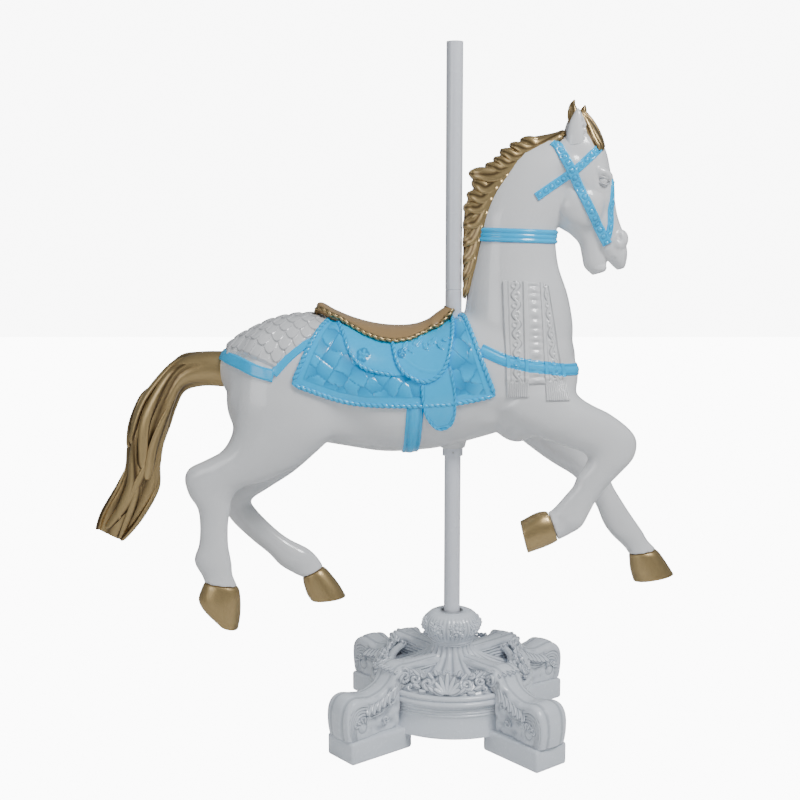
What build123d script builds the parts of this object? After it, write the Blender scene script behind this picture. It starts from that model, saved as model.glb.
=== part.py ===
from build123d import *
import os
from math import cos, hypot, radians, sin

# Jumping carousel horse on a steel pole, standing in a scroll-legged pedestal.
# Millimetres. The pole's axis is Z, the floor is Z = 0, the horse looks along +X.
# The horse's right side is -Y.

# ---- Clearances ----------------------------------------------------------------------------
BOND = 0.3            # glue line between neighbouring mouldings
RUN = 0.05            # radial running clearance of the pole in its bushes and of its spigot
SLIP = 0.4            # radial clearance of the horse's sleeve and collar on the pole

# ---- Pole ----------------------------------------------------------------------------------
POLE_R = 24.15        # 1 1/2 inch steel tube
POLE_WALL = 3.2
POLE_TOP = 2023
POLE_SEAM = 1320      # where the upper length plugs into the lower one
SPIGOT_LENGTH = 90
SEAM_CHAMFER = 1.5

# ---- Pedestal ------------------------------------------------------------------------------
PLINTH_HEIGHT = 65
PLINTH_END = 427      # radius of the plinth blocks' outer ends
PLINTH_WIDTH = 128
PLINTH_ROUND = 14
LEG_WIDTH = 96
VOLUTE_WIDTH = 112
VOLUTE_R = 34
LEG_TURN = 39.3       # the first leg's angle from +X
LEG_COUNT = 4
DRUM_R = 236
DRUM_WALL = 8
DRUM_FLOOR = 48
DRUM_TOP = 175
MOULD = 8             # how far the drum's rim mouldings stand out
DECK_HOLE_R = 150
FLARE_FOOT_R = 205
FLARE_NECK_R = 58
FLARE_TOP = 262
FLARE_WALL = 8
URN_R = 86
URN_RIM_R = 60
URN_TOP = 365
PLATE_THICK = 8
SOCKET_R = 30
SOCKET_WALL = 4
BUSH_LENGTH = 36
WASHER_THICK = 6
BOLT_R = 6
BOLT_HEAD_R = 10
BOLT_HEAD = 7
BOLT_GRIP = 60
BOLT_HEIGHT = 112

# ---- Horse ---------------------------------------------------------------------------------
HORSE_Z = 1000        # height of the horse's own datum; heights below are counted from it
SHELL = 5             # thickness of the laid-up shell
BLANKET = 6
LEATHER = 5           # skirts, flaps and fenders
STRAP = 6
PANEL = 4             # relief panels on the chest and bridle straps on the head
LEG_SIDE = 95         # the legs' distance from the middle plane
EAR_SIDE = 38
MANE_HALF = 28
SLEEVE_WALL = 3
PLATE_R = 70
COLLAR_R = 30
COLLAR_LENGTH = 24
BOSS_R = 50
BOSS_FOOT_R = 36
BOSS_FOOT = -144
SLEEVE_TOP = 205
SCREW_R = 3
WIDE = 260            # half width of a cutter that reaches past the horse's sides

# Each section joins a point on the upper or front line to one on the lower or back line.
# (front x, front z), (back x, back z), half width
TORSO = [
    ((-690, 105), (-690, 75), 15),
    ((-675, 140), (-675, 40), 50),
    ((-640, 172), (-640, -20), 95),
    ((-590, 200), (-590, -75), 130),
    ((-520, 231), (-520, -110), 158),
    ((-430, 247), (-430, -117), 165),
    ((-330, 232), (-330, -132), 160),
    ((-200, 194), (-200, -152), 158),
    ((-80, 198), (-80, -147), 155),
    ((-20, 222), (-20, -137), 153),
    ((40, 255), (40, -122), 150),
    ((150, 282), (150, -90), 145),
    ((250, 272), (250, -55), 130),
    ((320, 225), (320, -5), 95),
    ((350, 165), (350, 58), 45),
    ((356, 132), (356, 94), 14),
]
NECK = [
    ((335, 120), (38, 120), 118),
    ((350, 200), (22, 200), 136),
    ((336, 300), (36, 300), 110),
    ((307, 390), (52, 390), 90),
    ((297, 475), (66, 475), 78),
]
THROAT = [
    ((297, 475.3), (66, 475.3), 78),
    ((305, 510), (72, 535), 76),
    ((330, 570), (105, 625), 72),
    ((352, 630), (165, 705), 66),
    ((372, 690), (255, 755), 52),
]
HEAD = [
    ((380, 778), (300, 752), 34),
    ((402, 765), (278, 728), 54),
    ((433, 723), (270, 657), 62),
    ((449, 662), (290, 596), 68),
    ((461, 603), (297, 537), 62),
    ((472, 536), (340, 484), 48),
    ((492, 478), (397, 441), 38),
    ((501, 437), (440, 413), 33),
    ((496, 404), (466, 392), 16),
]
JAW = [
    ((428, 500), (352, 472), 36),
    ((426, 441), (370, 419), 31),
    ((436, 405), (384, 385), 28),
    ((432, 382), (404, 370), 14),
]
EAR = [
    ((374, 742), (312, 736), 17),
    ((373, 785), (319, 782), 15),
    ((353, 833), (344, 833), 5),
]
FORELOCK = [
    ((345, 862), (332, 858), 8),
    ((368, 830), (322, 812), 15),
    ((405, 790), (350, 760), 26),
    ((432, 738), (398, 724), 24),
    ((441, 700), (428, 695), 9),
]
MANE = [
    (34, 288), (27, 330), (27, 540), (46, 593), (66, 621), (49, 655), (112, 680), (123, 696),
    (140, 718), (166, 736), (196, 750), (262, 776), (304, 790), (318, 780), (318, 690), (210, 560),
    (130, 300),
]
TAIL_BEND = ((-925, 3), (-832, -85), 50)
TAIL_DOCK = [
    ((-668, 140), (-676, 36), 42),
    ((-742, 141), (-734, 36), 46),
    ((-803, 130), (-788, 21), 49),
    ((-864, 71), (-815, -30), 50),
    TAIL_BEND,
]
TAIL_LOCK = [
    TAIL_BEND,
    ((-963, -85), (-848, -143), 48),
    ((-976, -198), (-862, -240), 44),
    ((-1002, -255), (-885, -300), 38),
    ((-1042, -315), (-920, -358), 28),
    ((-1068, -390), (-985, -434), 12),
]

# Upper part, lower part and hoof of each leg; the lower part starts a glue line below.
FORE_RIGHT = (
    [
        ((290, 80), (110, -30), 52),
        ((375, 9), (222, -92), 62),
        ((448, -32), (290, -117), 52),
        ((506, -77), (360, -137), 43),
        ((527, -118), (386, -160), 39),
    ],
    [
        ((527.2, -118.8), (386.2, -160.8), 39),
        ((512, -172), (374, -195), 36),
        ((447, -239), (350, -240), 30),
        ((413, -285), (322, -272), 27),
        ((394, -322), (304, -299), 27),
        ((366, -372), (294, -308), 28),
        ((304, -402), (276, -322), 31),
    ],
    [
        ((303.6, -402.2), (275.6, -322.2), 33),
        ((266, -424), (238, -330), 40),
        ((216, -440), (194, -350), 42),
    ],
)
FORE_LEFT = (
    [
        ((290, 80), (110, -50), 52),
        ((362, -45), (205, -135), 60),
        ((412, -118), (300, -205), 48),
        ((464, -207), (386, -262), 37),
    ],
    [
        ((464.2, -207.3), (386.2, -262.3), 37),
        ((490, -276), (420, -302), 31),
        ((523, -326), (447, -348), 28),
        ((551, -368), (466, -396), 27),
        ((586, -420), (492, -432), 31),
        ((606, -452), (534, -472), 27),
        ((631, -478), (548, -493), 31),
    ],
    [
        ((631.1, -478.5), (548.1, -493.5), 33),
        ((662, -518), (552, -544), 41),
        ((685, -554), (564, -578), 44),
    ],
)
HIND_RIGHT = (
    [
        ((-290, 60), (-628, 60), 72),
        ((-299, -15), (-634, -15), 80),
        ((-325, -70), (-640, -84), 76),
        ((-381, -130), (-669, -138), 63),
        ((-454, -190), (-719, -167), 50),
        ((-545, -228), (-765, -190), 42),
        ((-608, -243), (-779, -218), 37),
    ],
    [
        ((-608.2, -243.3), (-779.2, -218.3), 37),
        ((-642, -275), (-765, -270), 33),
        ((-650, -318), (-742, -310), 29),
        ((-655, -365), (-738, -358), 26),
        ((-655, -420), (-742, -414), 27),
        ((-648, -470), (-757, -466), 31),
        ((-646, -508), (-732, -512), 27),
        ((-632, -542), (-728, -528), 31),
    ],
    [
        ((-631.8, -542.7), (-728.2, -528.7), 33),
        ((-624, -585), (-745, -580), 42),
        ((-626, -628), (-729, -612), 42),
        ((-632, -668), (-685, -655), 38),
    ],
)
HIND_LEFT = (
    [
        ((-290, 60), (-618, 60), 64),
        ((-325, -40), (-622, -50), 70),
        ((-369, -132), (-612, -136), 63),
        ((-461, -222), (-655, -230), 50),
        ((-562, -288), (-695, -282), 40),
        ((-610, -322), (-698, -334), 35),
    ],
    [
        ((-609.9, -322.3), (-697.9, -334.3), 35),
        ((-596, -352), (-666, -392), 30),
        ((-545, -408), (-608, -447), 28),
        ((-497, -446), (-560, -490), 27),
        ((-440, -476), (-524, -530), 31),
        ((-411, -503), (-480, -557), 28),
        ((-392, -533), (-456, -565), 31),
    ],
    [
        ((-391.6, -533.6), (-455.6, -565.6), 33),
        ((-345, -588), (-443, -619), 41),
        ((-324, -626), (-428, -639), 42),
    ],
)
LEGS = {"fore_right": (FORE_RIGHT, -LEG_SIDE), "fore_left": (FORE_LEFT, LEG_SIDE),
        "hind_right": (HIND_RIGHT, -LEG_SIDE), "hind_left": (HIND_LEFT, LEG_SIDE)}

# Saddle, as seen from the side: x, z
SEAT_CORE = 165       # height of the saddle seat's widest line
SEAT = [
    ((-398, 279), 30),
    ((-385, 276), 60),
    ((-330, 254), 92),
    ((-265, 232), 98),
    ((-200, 221), 96),
    ((-130, 220), 92),
    ((-80, 232), 84),
    ((-35, 268), 66),
    ((-2, 273), 46),
    ((20, 268), 26),
]
BLANKET_EDGE = [
    (-350, 262), (-458, 62), (-333, 16), (-252, 3), (-156, 0), (-105, 0), (-1, 6), (112, 28),
    (52, 170), (14, 279), (-150, 300),
]
SKIRT_EDGE = [
    (-352, 250), (-321, 198), (-299, 148), (-268, 111), (-226, 94), (-182, 86), (-178, 120),
    (-186, 157), (-190, 184), (-262, 200), (-330, 232),
]
FLAP_EDGE = [
    (-189, 186), (-185, 157), (-177, 120), (-136, 84), (-94, 67), (-58, 75), (-30, 103),
    (-16, 143), (-6, 200), (1, 262), (-25, 236), (-60, 214), (-110, 192),
]
FENDER_TOP = [(-96, 66), (-40, 92)]
FENDER_FOOT = [(-3, 2), (-30, -62), (-84, -36)]
GIRTH_X = (-145, -92)
GIRTH_TOP = 2
BREAST_EDGE = [
    (50, 190), (118, 159), (158, 145), (209, 127), (261, 119), (338, 113), (380, 108),
    (380, 70), (327, 79), (258, 93), (201, 99), (138, 105), (104, 119), (78, 136),
]
CRUPPER_EDGE = [
    (-672, 150), (-577, 133), (-516, 102), (-473, 142), (-399, 187), (-399, 172), (-457, 122),
    (-508, 82), (-539, 56), (-604, 82), (-672, 116),
]
BAND_LOW = 457
BAND_HIGH = 495
SCARF_REAR = [(136, 349), (202, 346), (208, 23), (146, 23)]
SCARF_FRONT = [(240, 343), (270, 330), (300, 200), (324, 60), (326, 12), (262, 16), (252, 120)]
CHEEK_STRAP = [(268, 738), (300, 748), (452, 456), (426, 445)]
BROW_STRAP = [(222, 592), (240, 570), (424, 708), (412, 732)]
NOSE_STRAP = [(428, 634), (447, 640), (452, 474), (426, 462)]


def section_plane(front, back, side=0):
    """The plane across a limb through one point of its front line and one of its back line."""
    across = Vector(front[0] - back[0], 0, front[1] - back[1]).normalized()
    middle = Vector((front[0] + back[0]) / 2, side, HORSE_Z + (front[1] + back[1]) / 2)
    return Plane(origin=middle, x_dir=across, z_dir=across.cross(Vector(0, 1, 0)))


def form(sections, side=0, grow=0):
    """A smooth form through elliptical sections, thicker all round by grow."""
    with BuildPart() as body:
        for front, back, half_width in sections:
            half_depth = hypot(front[0] - back[0], front[1] - back[1]) / 2
            with BuildSketch(section_plane(front, back, side)):
                Ellipse(half_depth + grow, half_width + grow)
        loft()
    return body.part


def prism(outline, near=-WIDE, far=WIDE, grow=0):
    """A straight block with a side-view outline, from one distance across to another."""
    with BuildPart() as block:
        with BuildSketch(Plane.XZ.offset(-far)):
            with Locations((0, HORSE_Z)):
                Polygon(*outline, align=None)
            if grow:
                offset(amount=grow)
        extrude(amount=far - near)
    return block.part


def layer(inner, outer, outline, near=-WIDE, far=WIDE):
    """The part of a thick skin between two forms that lies inside a side-view outline."""
    with BuildPart() as skin:
        add(outer)
        add(inner, mode=Mode.SUBTRACT)
        add(prism(outline, near, far), mode=Mode.INTERSECT)
    return skin.part


def turned(profile):
    """A solid of revolution about the pole's axis from a closed outline of (radius, height)."""
    with BuildPart() as body:
        with BuildSketch(Plane.XZ):
            Polygon(*profile, align=None)
        revolve(axis=Axis.Z)
    return body.part


def ring(outer_r, inner_r, low, high):
    """A plain tube about the pole's axis."""
    return turned([(inner_r, low), (outer_r, low), (outer_r, high), (inner_r, high)])


def rod(radius, low, high):
    """A plain cylinder on the pole's axis."""
    with BuildPart() as body:
        with BuildSketch(Plane.XY.offset(low)):
            Circle(radius)
        extrude(amount=high - low)
    return body.part


def save(name, part):
    """Label one finished piece and write it."""
    part.label = name
    export_step(part, f"parts/{name}.step")


os.makedirs("parts", exist_ok=True)

# ---- Pedestal: drum, deck and floor plate ---------------------------------------------------
drum_bore = DRUM_R - DRUM_WALL
rim_r = DRUM_R + MOULD
lip_top = DRUM_FLOOR + PLATE_THICK
plate_top = lip_top + PLATE_THICK

with BuildPart() as base_drum:
    with BuildSketch(Plane.XZ):
        Polygon(
            (drum_bore - 2 * DRUM_WALL, DRUM_FLOOR), (rim_r, DRUM_FLOOR),
            (rim_r, DRUM_FLOOR + MOULD), (DRUM_R, DRUM_FLOOR + 2 * MOULD),
            (DRUM_R, DRUM_TOP - 4 * MOULD), (DRUM_R + MOULD / 2, DRUM_TOP - 3 * MOULD),
            (DRUM_R + MOULD / 2, DRUM_TOP - 2 * MOULD), (rim_r, DRUM_TOP - MOULD),
            (rim_r, DRUM_TOP), (DECK_HOLE_R, DRUM_TOP), (DECK_HOLE_R, DRUM_TOP - DRUM_WALL),
            (drum_bore, DRUM_TOP - DRUM_WALL), (drum_bore, lip_top),
            (drum_bore - 2 * DRUM_WALL, lip_top), align=None)
    revolve(axis=Axis.Z)
    for index in range(LEG_COUNT):
        turn = LEG_TURN + index * 360 / LEG_COUNT
        with Locations(Plane(origin=(0, 0, BOLT_HEIGHT), z_dir=(cos(radians(turn)), sin(radians(turn)), 0))):
            Cylinder(BOLT_R + BOND, rim_r + 1, align=(Align.CENTER, Align.CENTER, Align.MIN),
                     mode=Mode.SUBTRACT)
save("base_drum", base_drum.part)

with BuildPart() as base_plate:
    with BuildSketch(Plane.XY.offset(lip_top)):
        Circle(drum_bore - BOND)
    extrude(amount=PLATE_THICK)
save("base_plate", base_plate.part)

# ---- Pedestal: flared neck and urn ----------------------------------------------------------
def flare(grow=0):
    """The flared neck as a solid, without its bore."""
    with BuildPart() as body:
        with BuildSketch(Plane.XZ):
            with BuildLine():
                foot = (FLARE_FOOT_R + grow, DRUM_TOP)
                throat = (FLARE_NECK_R + grow, FLARE_TOP)
                waist = (FLARE_NECK_R + 0.34 * (FLARE_FOOT_R - FLARE_NECK_R) + grow,
                         DRUM_TOP + 0.45 * (FLARE_TOP - DRUM_TOP) + grow)
                ThreePointArc(foot, waist, throat)
                Polyline(throat, (0, FLARE_TOP), (0, DRUM_TOP), foot)
            make_face()
        revolve(axis=Axis.Z)
    return body.part


socket_out = SOCKET_R + SOCKET_WALL
flare_bore = flare(-FLARE_WALL)
flare_body = flare()
with BuildPart() as flared_neck:
    add(flare_body)
    add(flare_bore, mode=Mode.SUBTRACT)
    add(rod(socket_out + BOND, DRUM_TOP, FLARE_TOP), mode=Mode.SUBTRACT)
save("flared_neck", flared_neck.part)

urn_middle = FLARE_TOP + 0.62 * (URN_TOP - FLARE_TOP)
urn_foot = FLARE_TOP + 14
lip = 5
with BuildPart() as urn_collar:
    with BuildSketch(Plane.XZ):
        with BuildLine():
            Polyline((socket_out + BOND, URN_TOP - lip), (socket_out + BOND, FLARE_TOP),
                     (URN_RIM_R, FLARE_TOP), (URN_RIM_R, urn_foot))
            ThreePointArc((URN_RIM_R, urn_foot), (URN_R, urn_middle), (URN_RIM_R, URN_TOP - lip))
            Polyline((URN_RIM_R, URN_TOP - lip), (URN_RIM_R - lip, URN_TOP), (SOCKET_R, URN_TOP),
                     (SOCKET_R, URN_TOP - lip), (socket_out + BOND, URN_TOP - lip))
        make_face()
    revolve(axis=Axis.Z)
save("urn_collar", urn_collar.part)

# ---- Pedestal: socket, bushes and washer ----------------------------------------------------
socket_top = URN_TOP - lip - BOND
washer_top = plate_top + WASHER_THICK
save("socket_tube", ring(socket_out, SOCKET_R, plate_top, socket_top))
save("thrust_washer", ring(SOCKET_R - BOND, POLE_R / 2, plate_top, washer_top))
bush_r = SOCKET_R - RUN
with BuildPart() as pole_bushes:
    for low in (washer_top + BUSH_LENGTH / 4, socket_top - BUSH_LENGTH * 1.4):
        add(ring(bush_r, POLE_R + RUN, low, low + BUSH_LENGTH))
save("pole_bushes", pole_bushes.part)

# ---- Pedestal: plinth blocks, scroll legs and their bolts -----------------------------------
plinth_start = rim_r + BOND
scroll_r = PLINTH_END - VOLUTE_R - LEG_WIDTH / 12
for index in range(LEG_COUNT):
    turn = LEG_TURN + index * 360 / LEG_COUNT
    outward = (cos(radians(turn)), sin(radians(turn)), 0)
    upright = Plane(origin=(0, 0, 0), x_dir=outward, z_dir=(outward[1], -outward[0], 0))
    flat = Plane(origin=(0, 0, 0), x_dir=outward, z_dir=(0, 0, 1))
    bolt = Plane(origin=(0, 0, BOLT_HEIGHT), z_dir=outward)

    with BuildPart() as plinth:
        with BuildSketch(flat):
            with Locations(((plinth_start + PLINTH_END) / 2, 0)):
                Rectangle(PLINTH_END - plinth_start, PLINTH_WIDTH)
        extrude(amount=PLINTH_HEIGHT)
        fillet(plinth.edges().filter_by(Axis.Z), PLINTH_ROUND)
    save(f"plinth_block_{index + 1}", plinth.part)

    with BuildPart() as leg:
        with BuildSketch(upright):
            with BuildLine():
                tip = (PLINTH_END + 2, PLINTH_HEIGHT + 55)
                Spline((FLARE_NECK_R + 56, FLARE_TOP - 26), (195, 246), (226, 262), (252, 240),
                       (276, 200), (318, 172), (362, 172), (402, 176), tip)
                Polyline(tip, (PLINTH_END - 6, PLINTH_HEIGHT), (plinth_start, PLINTH_HEIGHT),
                         (plinth_start, DRUM_TOP + BOND), (FLARE_NECK_R + 20, DRUM_TOP + BOND),
                         (FLARE_NECK_R + 20, FLARE_TOP - 60), (FLARE_NECK_R + 56, FLARE_TOP - 26))
            make_face()
        extrude(amount=LEG_WIDTH / 2, both=True)
        with BuildSketch(upright):
            with Locations((scroll_r, PLINTH_HEIGHT + VOLUTE_R + 16)):
                Circle(VOLUTE_R)
        extrude(amount=VOLUTE_WIDTH / 2, both=True)
        add(flare(BOND), mode=Mode.SUBTRACT)
        with Locations(bolt):
            Cylinder(BOLT_R + BOND, plinth_start + BOLT_GRIP, mode=Mode.SUBTRACT,
                     align=(Align.CENTER, Align.CENTER, Align.MIN))
    save(f"scroll_leg_{index + 1}", leg.part)

with BuildPart() as leg_bolts:
    for index in range(LEG_COUNT):
        turn = LEG_TURN + index * 360 / LEG_COUNT
        outward = Vector(cos(radians(turn)), sin(radians(turn)), 0)
        seat = outward * (drum_bore - BOLT_HEAD) + Vector(0, 0, BOLT_HEIGHT)
        with BuildSketch(Plane(origin=seat, z_dir=outward)):
            RegularPolygon(BOLT_HEAD_R, 6)
        extrude(amount=BOLT_HEAD - BOND)
        with BuildSketch(Plane(origin=seat, z_dir=outward)):
            Circle(BOLT_R)
        extrude(amount=BOLT_HEAD + DRUM_WALL + BOLT_GRIP)
save("leg_bolts", leg_bolts.part)

# ---- Pole: two lengths of tube --------------------------------------------------------------
pole_foot = washer_top + BOND
pole_bore = POLE_R - POLE_WALL
save("lower_pole", turned([
    (pole_bore, pole_foot), (POLE_R, pole_foot), (POLE_R, POLE_SEAM - SEAM_CHAMFER),
    (POLE_R - SEAM_CHAMFER, POLE_SEAM), (pole_bore, POLE_SEAM)]))
spigot_r = pole_bore - RUN
shoulder = POLE_SEAM + BOND
save("upper_pole", turned([
    (spigot_r - POLE_WALL, POLE_SEAM - SPIGOT_LENGTH), (spigot_r, POLE_SEAM - SPIGOT_LENGTH),
    (spigot_r, shoulder), (POLE_R - SEAM_CHAMFER, shoulder), (POLE_R, shoulder + SEAM_CHAMFER),
    (POLE_R, POLE_TOP), (pole_bore, POLE_TOP), (pole_bore, shoulder + 2 * POLE_WALL),
    (spigot_r - POLE_WALL, shoulder)]))

# ---- Horse: steel sleeve, plates, boss and clamp collar -------------------------------------
sleeve_bore = POLE_R + SLIP
sleeve_r = sleeve_bore + SLEEVE_WALL
hole_r = sleeve_r + BOND
foot_z = HORSE_Z + BOSS_FOOT
torso = form(TORSO)
torso_glue = form(TORSO, grow=BOND)
pole_hole = rod(hole_r, 0, POLE_TOP)

save("pole_sleeve", ring(sleeve_r, sleeve_bore, foot_z, HORSE_Z + SLEEVE_TOP))
with BuildPart() as sleeve_plates:
    for low in (HORSE_Z + BOSS_FOOT + 2 * BOSS_R, HORSE_Z + SLEEVE_TOP - 2 * BOSS_R):
        add(ring(PLATE_R, hole_r, low, low + SHELL))
save("sleeve_plates", sleeve_plates.part)
with BuildPart() as belly_boss:
    add(turned([(hole_r, foot_z), (BOSS_FOOT_R, foot_z), (BOSS_R, foot_z + BOSS_R),
                (hole_r, foot_z + BOSS_R)]))
    add(torso_glue, mode=Mode.SUBTRACT)
save("belly_boss", belly_boss.part)

collar_top = foot_z - BOND
screw_z = collar_top - COLLAR_LENGTH / 2
with BuildPart() as clamp_collar:
    add(ring(COLLAR_R, sleeve_bore, collar_top - COLLAR_LENGTH, collar_top))
    with Locations(Plane(origin=(0, 0, screw_z), z_dir=(0, 1, 0))):
        Cylinder(SCREW_R + RUN, 4 * COLLAR_R, mode=Mode.SUBTRACT)
save("clamp_collar", clamp_collar.part)
with BuildPart() as collar_screws:
    for way in (-1, 1):
        with BuildSketch(Plane(origin=(0, way * (sleeve_bore), screw_z), z_dir=(0, way, 0))):
            Circle(SCREW_R)
        extrude(amount=COLLAR_R - sleeve_bore + 2)
save("collar_screws", collar_screws.part)

# ---- Horse: body mouldings ------------------------------------------------------------------
with BuildPart() as torso_shell:
    add(torso)
    add(form(TORSO[1:-1], grow=-SHELL), mode=Mode.SUBTRACT)
    add(pole_hole, mode=Mode.SUBTRACT)
save("torso_shell", torso_shell.part)

with BuildPart() as neck_shell:
    add(form(NECK))
    add(form(NECK, grow=-SHELL), mode=Mode.SUBTRACT)
    add(torso_glue, mode=Mode.SUBTRACT)
    add(pole_hole, mode=Mode.SUBTRACT)
save("neck_shell", neck_shell.part)

with BuildPart() as head_shell:
    add(form(HEAD))
    add(form(THROAT))
    add(form(HEAD[1:-1], grow=-SHELL), mode=Mode.SUBTRACT)
    add(form(THROAT, grow=-SHELL), mode=Mode.SUBTRACT)
save("head_shell", head_shell.part)

head_glue = form(HEAD, grow=BOND)
throat_glue = form(THROAT, grow=BOND)
with BuildPart() as lower_jaw:
    add(form(JAW))
    add(head_glue, mode=Mode.SUBTRACT)
save("lower_jaw", lower_jaw.part)

ears = {}
for name, side in (("ear_right", -EAR_SIDE), ("ear_left", EAR_SIDE)):
    ears[name] = form(EAR, side, BOND)
    with BuildPart() as ear:
        add(form(EAR, side))
        add(head_glue, mode=Mode.SUBTRACT)
        add(throat_glue, mode=Mode.SUBTRACT)
    save(name, ear.part)

with BuildPart() as forelock:
    add(form(FORELOCK))
    for cutter in (head_glue, throat_glue, *ears.values()):
        add(cutter, mode=Mode.SUBTRACT)
save("forelock", forelock.part)

band_gap = PANEL + 2 * BOND
pole_clear = rod(sleeve_bore + 2 * BOND, 0, POLE_TOP)
with BuildPart() as mane:
    add(prism(MANE, -MANE_HALF, MANE_HALF))
    for sections in (NECK, THROAT, HEAD):
        add(form(sections, grow=band_gap), mode=Mode.SUBTRACT)
    for cutter in (torso_glue, form(FORELOCK, grow=BOND), pole_clear, *ears.values()):
        add(cutter, mode=Mode.SUBTRACT)
save("mane", mane.part)

with BuildPart() as tail:
    add(form(TAIL_DOCK))
    add(form(TAIL_LOCK))
    add(form(TAIL_DOCK, grow=-SHELL), mode=Mode.SUBTRACT)
    add(form(TAIL_LOCK[:-1], grow=-SHELL), mode=Mode.SUBTRACT)
    add(torso_glue, mode=Mode.SUBTRACT)
save("tail", tail.part)

thighs = []
for name, ((upper, lower, hoof), side) in LEGS.items():
    thighs.append(form(upper, side, BOND))
    with BuildPart() as upper_leg:
        add(form(upper, side))
        add(form(upper, side, -SHELL), mode=Mode.SUBTRACT)
        add(torso_glue, mode=Mode.SUBTRACT)
    save(f"{name}_upper_leg", upper_leg.part)
    with BuildPart() as lower_leg:
        add(form(lower, side))
        add(form(upper, side, BOND), mode=Mode.SUBTRACT)
    save(f"{name}_lower_leg", lower_leg.part)
    save(f"{name}_hoof", form(hoof, side))

# ---- Horse: saddle and blanket --------------------------------------------------------------
blanket_skin = form(TORSO, grow=BOND + BLANKET)
blanket_glue = form(TORSO, grow=2 * BOND + BLANKET)
leather_skin = form(TORSO, grow=2 * BOND + BLANKET + LEATHER)
leather_glue = form(TORSO, grow=3 * BOND + BLANKET + LEATHER)
neck_glue = form(NECK, grow=BOND)

with BuildPart() as saddle_blanket:
    add(layer(torso_glue, blanket_skin, BLANKET_EDGE))
    add(pole_hole, mode=Mode.SUBTRACT)
    for cutter in (neck_glue, *thighs):
        add(cutter, mode=Mode.SUBTRACT)
save("saddle_blanket", saddle_blanket.part)

with BuildPart() as saddle_seat:
    for (x, top), half_width in SEAT:
        with BuildSketch(section_plane((x, top), (x, 2 * SEAT_CORE - top))):
            Ellipse(top - SEAT_CORE, half_width)
    loft()
    add(leather_glue, mode=Mode.SUBTRACT)
    add(prism([(-420, 0), (60, 0), (60, SEAT_CORE - 12), (-420, SEAT_CORE - 12)]), mode=Mode.SUBTRACT)
    add(pole_hole, mode=Mode.SUBTRACT)
    add(neck_glue, mode=Mode.SUBTRACT)
save("saddle_seat", saddle_seat.part)

fender_edge = [FENDER_TOP[0], *reversed(FENDER_FOOT), FENDER_TOP[1]]
for side, near, far in (("right", -WIDE, 0), ("left", 0, WIDE)):
    with BuildPart() as skirt:
        add(layer(blanket_glue, leather_skin, SKIRT_EDGE, near, far))
    save(f"saddle_skirt_{side}", skirt.part)
    with BuildPart() as flap:
        add(layer(blanket_glue, leather_skin, FLAP_EDGE, near, far))
        add(layer(blanket_glue, leather_skin, fender_edge, near, far))
        add(pole_hole, mode=Mode.SUBTRACT)
        add(neck_glue, mode=Mode.SUBTRACT)
    save(f"saddle_flap_{side}", flap.part)

# ---- Horse: straps and relief panels --------------------------------------------------------
strap_skin = form(TORSO, grow=BOND + STRAP)
with BuildPart() as girth_strap:
    add(layer(torso_glue, strap_skin, [(GIRTH_X[0], -200), (GIRTH_X[1], -200),
                                       (GIRTH_X[1], GIRTH_TOP), (GIRTH_X[0], GIRTH_TOP)]))
    add(prism(BLANKET_EDGE, grow=BOND), mode=Mode.SUBTRACT)
save("girth_strap", girth_strap.part)

with BuildPart() as breast_strap:
    add(layer(torso_glue, strap_skin, BREAST_EDGE))
    add(prism(BLANKET_EDGE, grow=BOND), mode=Mode.SUBTRACT)
    for cutter in (neck_glue, *thighs):
        add(cutter, mode=Mode.SUBTRACT)
save("breast_strap", breast_strap.part)

with BuildPart() as crupper_strap:
    add(layer(torso_glue, strap_skin, CRUPPER_EDGE))
    add(prism(BLANKET_EDGE, grow=BOND), mode=Mode.SUBTRACT)
    add(form(TAIL_DOCK, grow=BOND), mode=Mode.SUBTRACT)
    for cutter in thighs:
        add(cutter, mode=Mode.SUBTRACT)
save("crupper_strap", crupper_strap.part)

with BuildPart() as neck_band:
    add(form(NECK, grow=BOND + PANEL))
    add(form(THROAT, grow=BOND + PANEL))
    add(prism([(0, BAND_LOW), (400, BAND_LOW), (400, BAND_HIGH), (0, BAND_HIGH)]),
        mode=Mode.INTERSECT)
    add(neck_glue, mode=Mode.SUBTRACT)
    add(throat_glue, mode=Mode.SUBTRACT)
save("neck_band", neck_band.part)

with BuildPart() as bridle_straps:
    add(form(HEAD, grow=BOND + PANEL))
    add(head_glue, mode=Mode.SUBTRACT)
    with BuildSketch(Plane.XZ.offset(-WIDE), mode=Mode.PRIVATE) as straps:
        with Locations((0, HORSE_Z)):
            for outline in (CHEEK_STRAP, BROW_STRAP, NOSE_STRAP):
                Polygon(*outline, align=None)
    extrude(straps.sketch, amount=2 * WIDE, mode=Mode.INTERSECT)
    for cutter in (throat_glue, *ears.values(), form(FORELOCK, grow=BOND), form(JAW, grow=BOND)):
        add(cutter, mode=Mode.SUBTRACT)
save("bridle_straps", bridle_straps.part)

strap_zone = prism(BREAST_EDGE, grow=BOND)
for side, near, far in (("right", -WIDE, 0), ("left", 0, WIDE)):
    with BuildPart() as scarf:
        for outline in (SCARF_REAR, SCARF_FRONT):
            add(prism(outline, near, far))
        add(strap_zone, mode=Mode.SUBTRACT)
    panels = scarf.part
    with BuildPart() as relief:
        add(form(NECK, grow=BOND + PANEL))
        add(form(TORSO, grow=BOND + PANEL))
        add(panels, mode=Mode.INTERSECT)
        for cutter in (neck_glue, torso_glue, *thighs):
            add(cutter, mode=Mode.SUBTRACT)
    save(f"scarf_{side}", relief.part)
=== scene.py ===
import math

import bmesh
import bpy
import numpy as np
from bpy.props import FloatProperty, FloatVectorProperty, PointerProperty
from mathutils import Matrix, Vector
from mathutils.bvhtree import BVHTree


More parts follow.
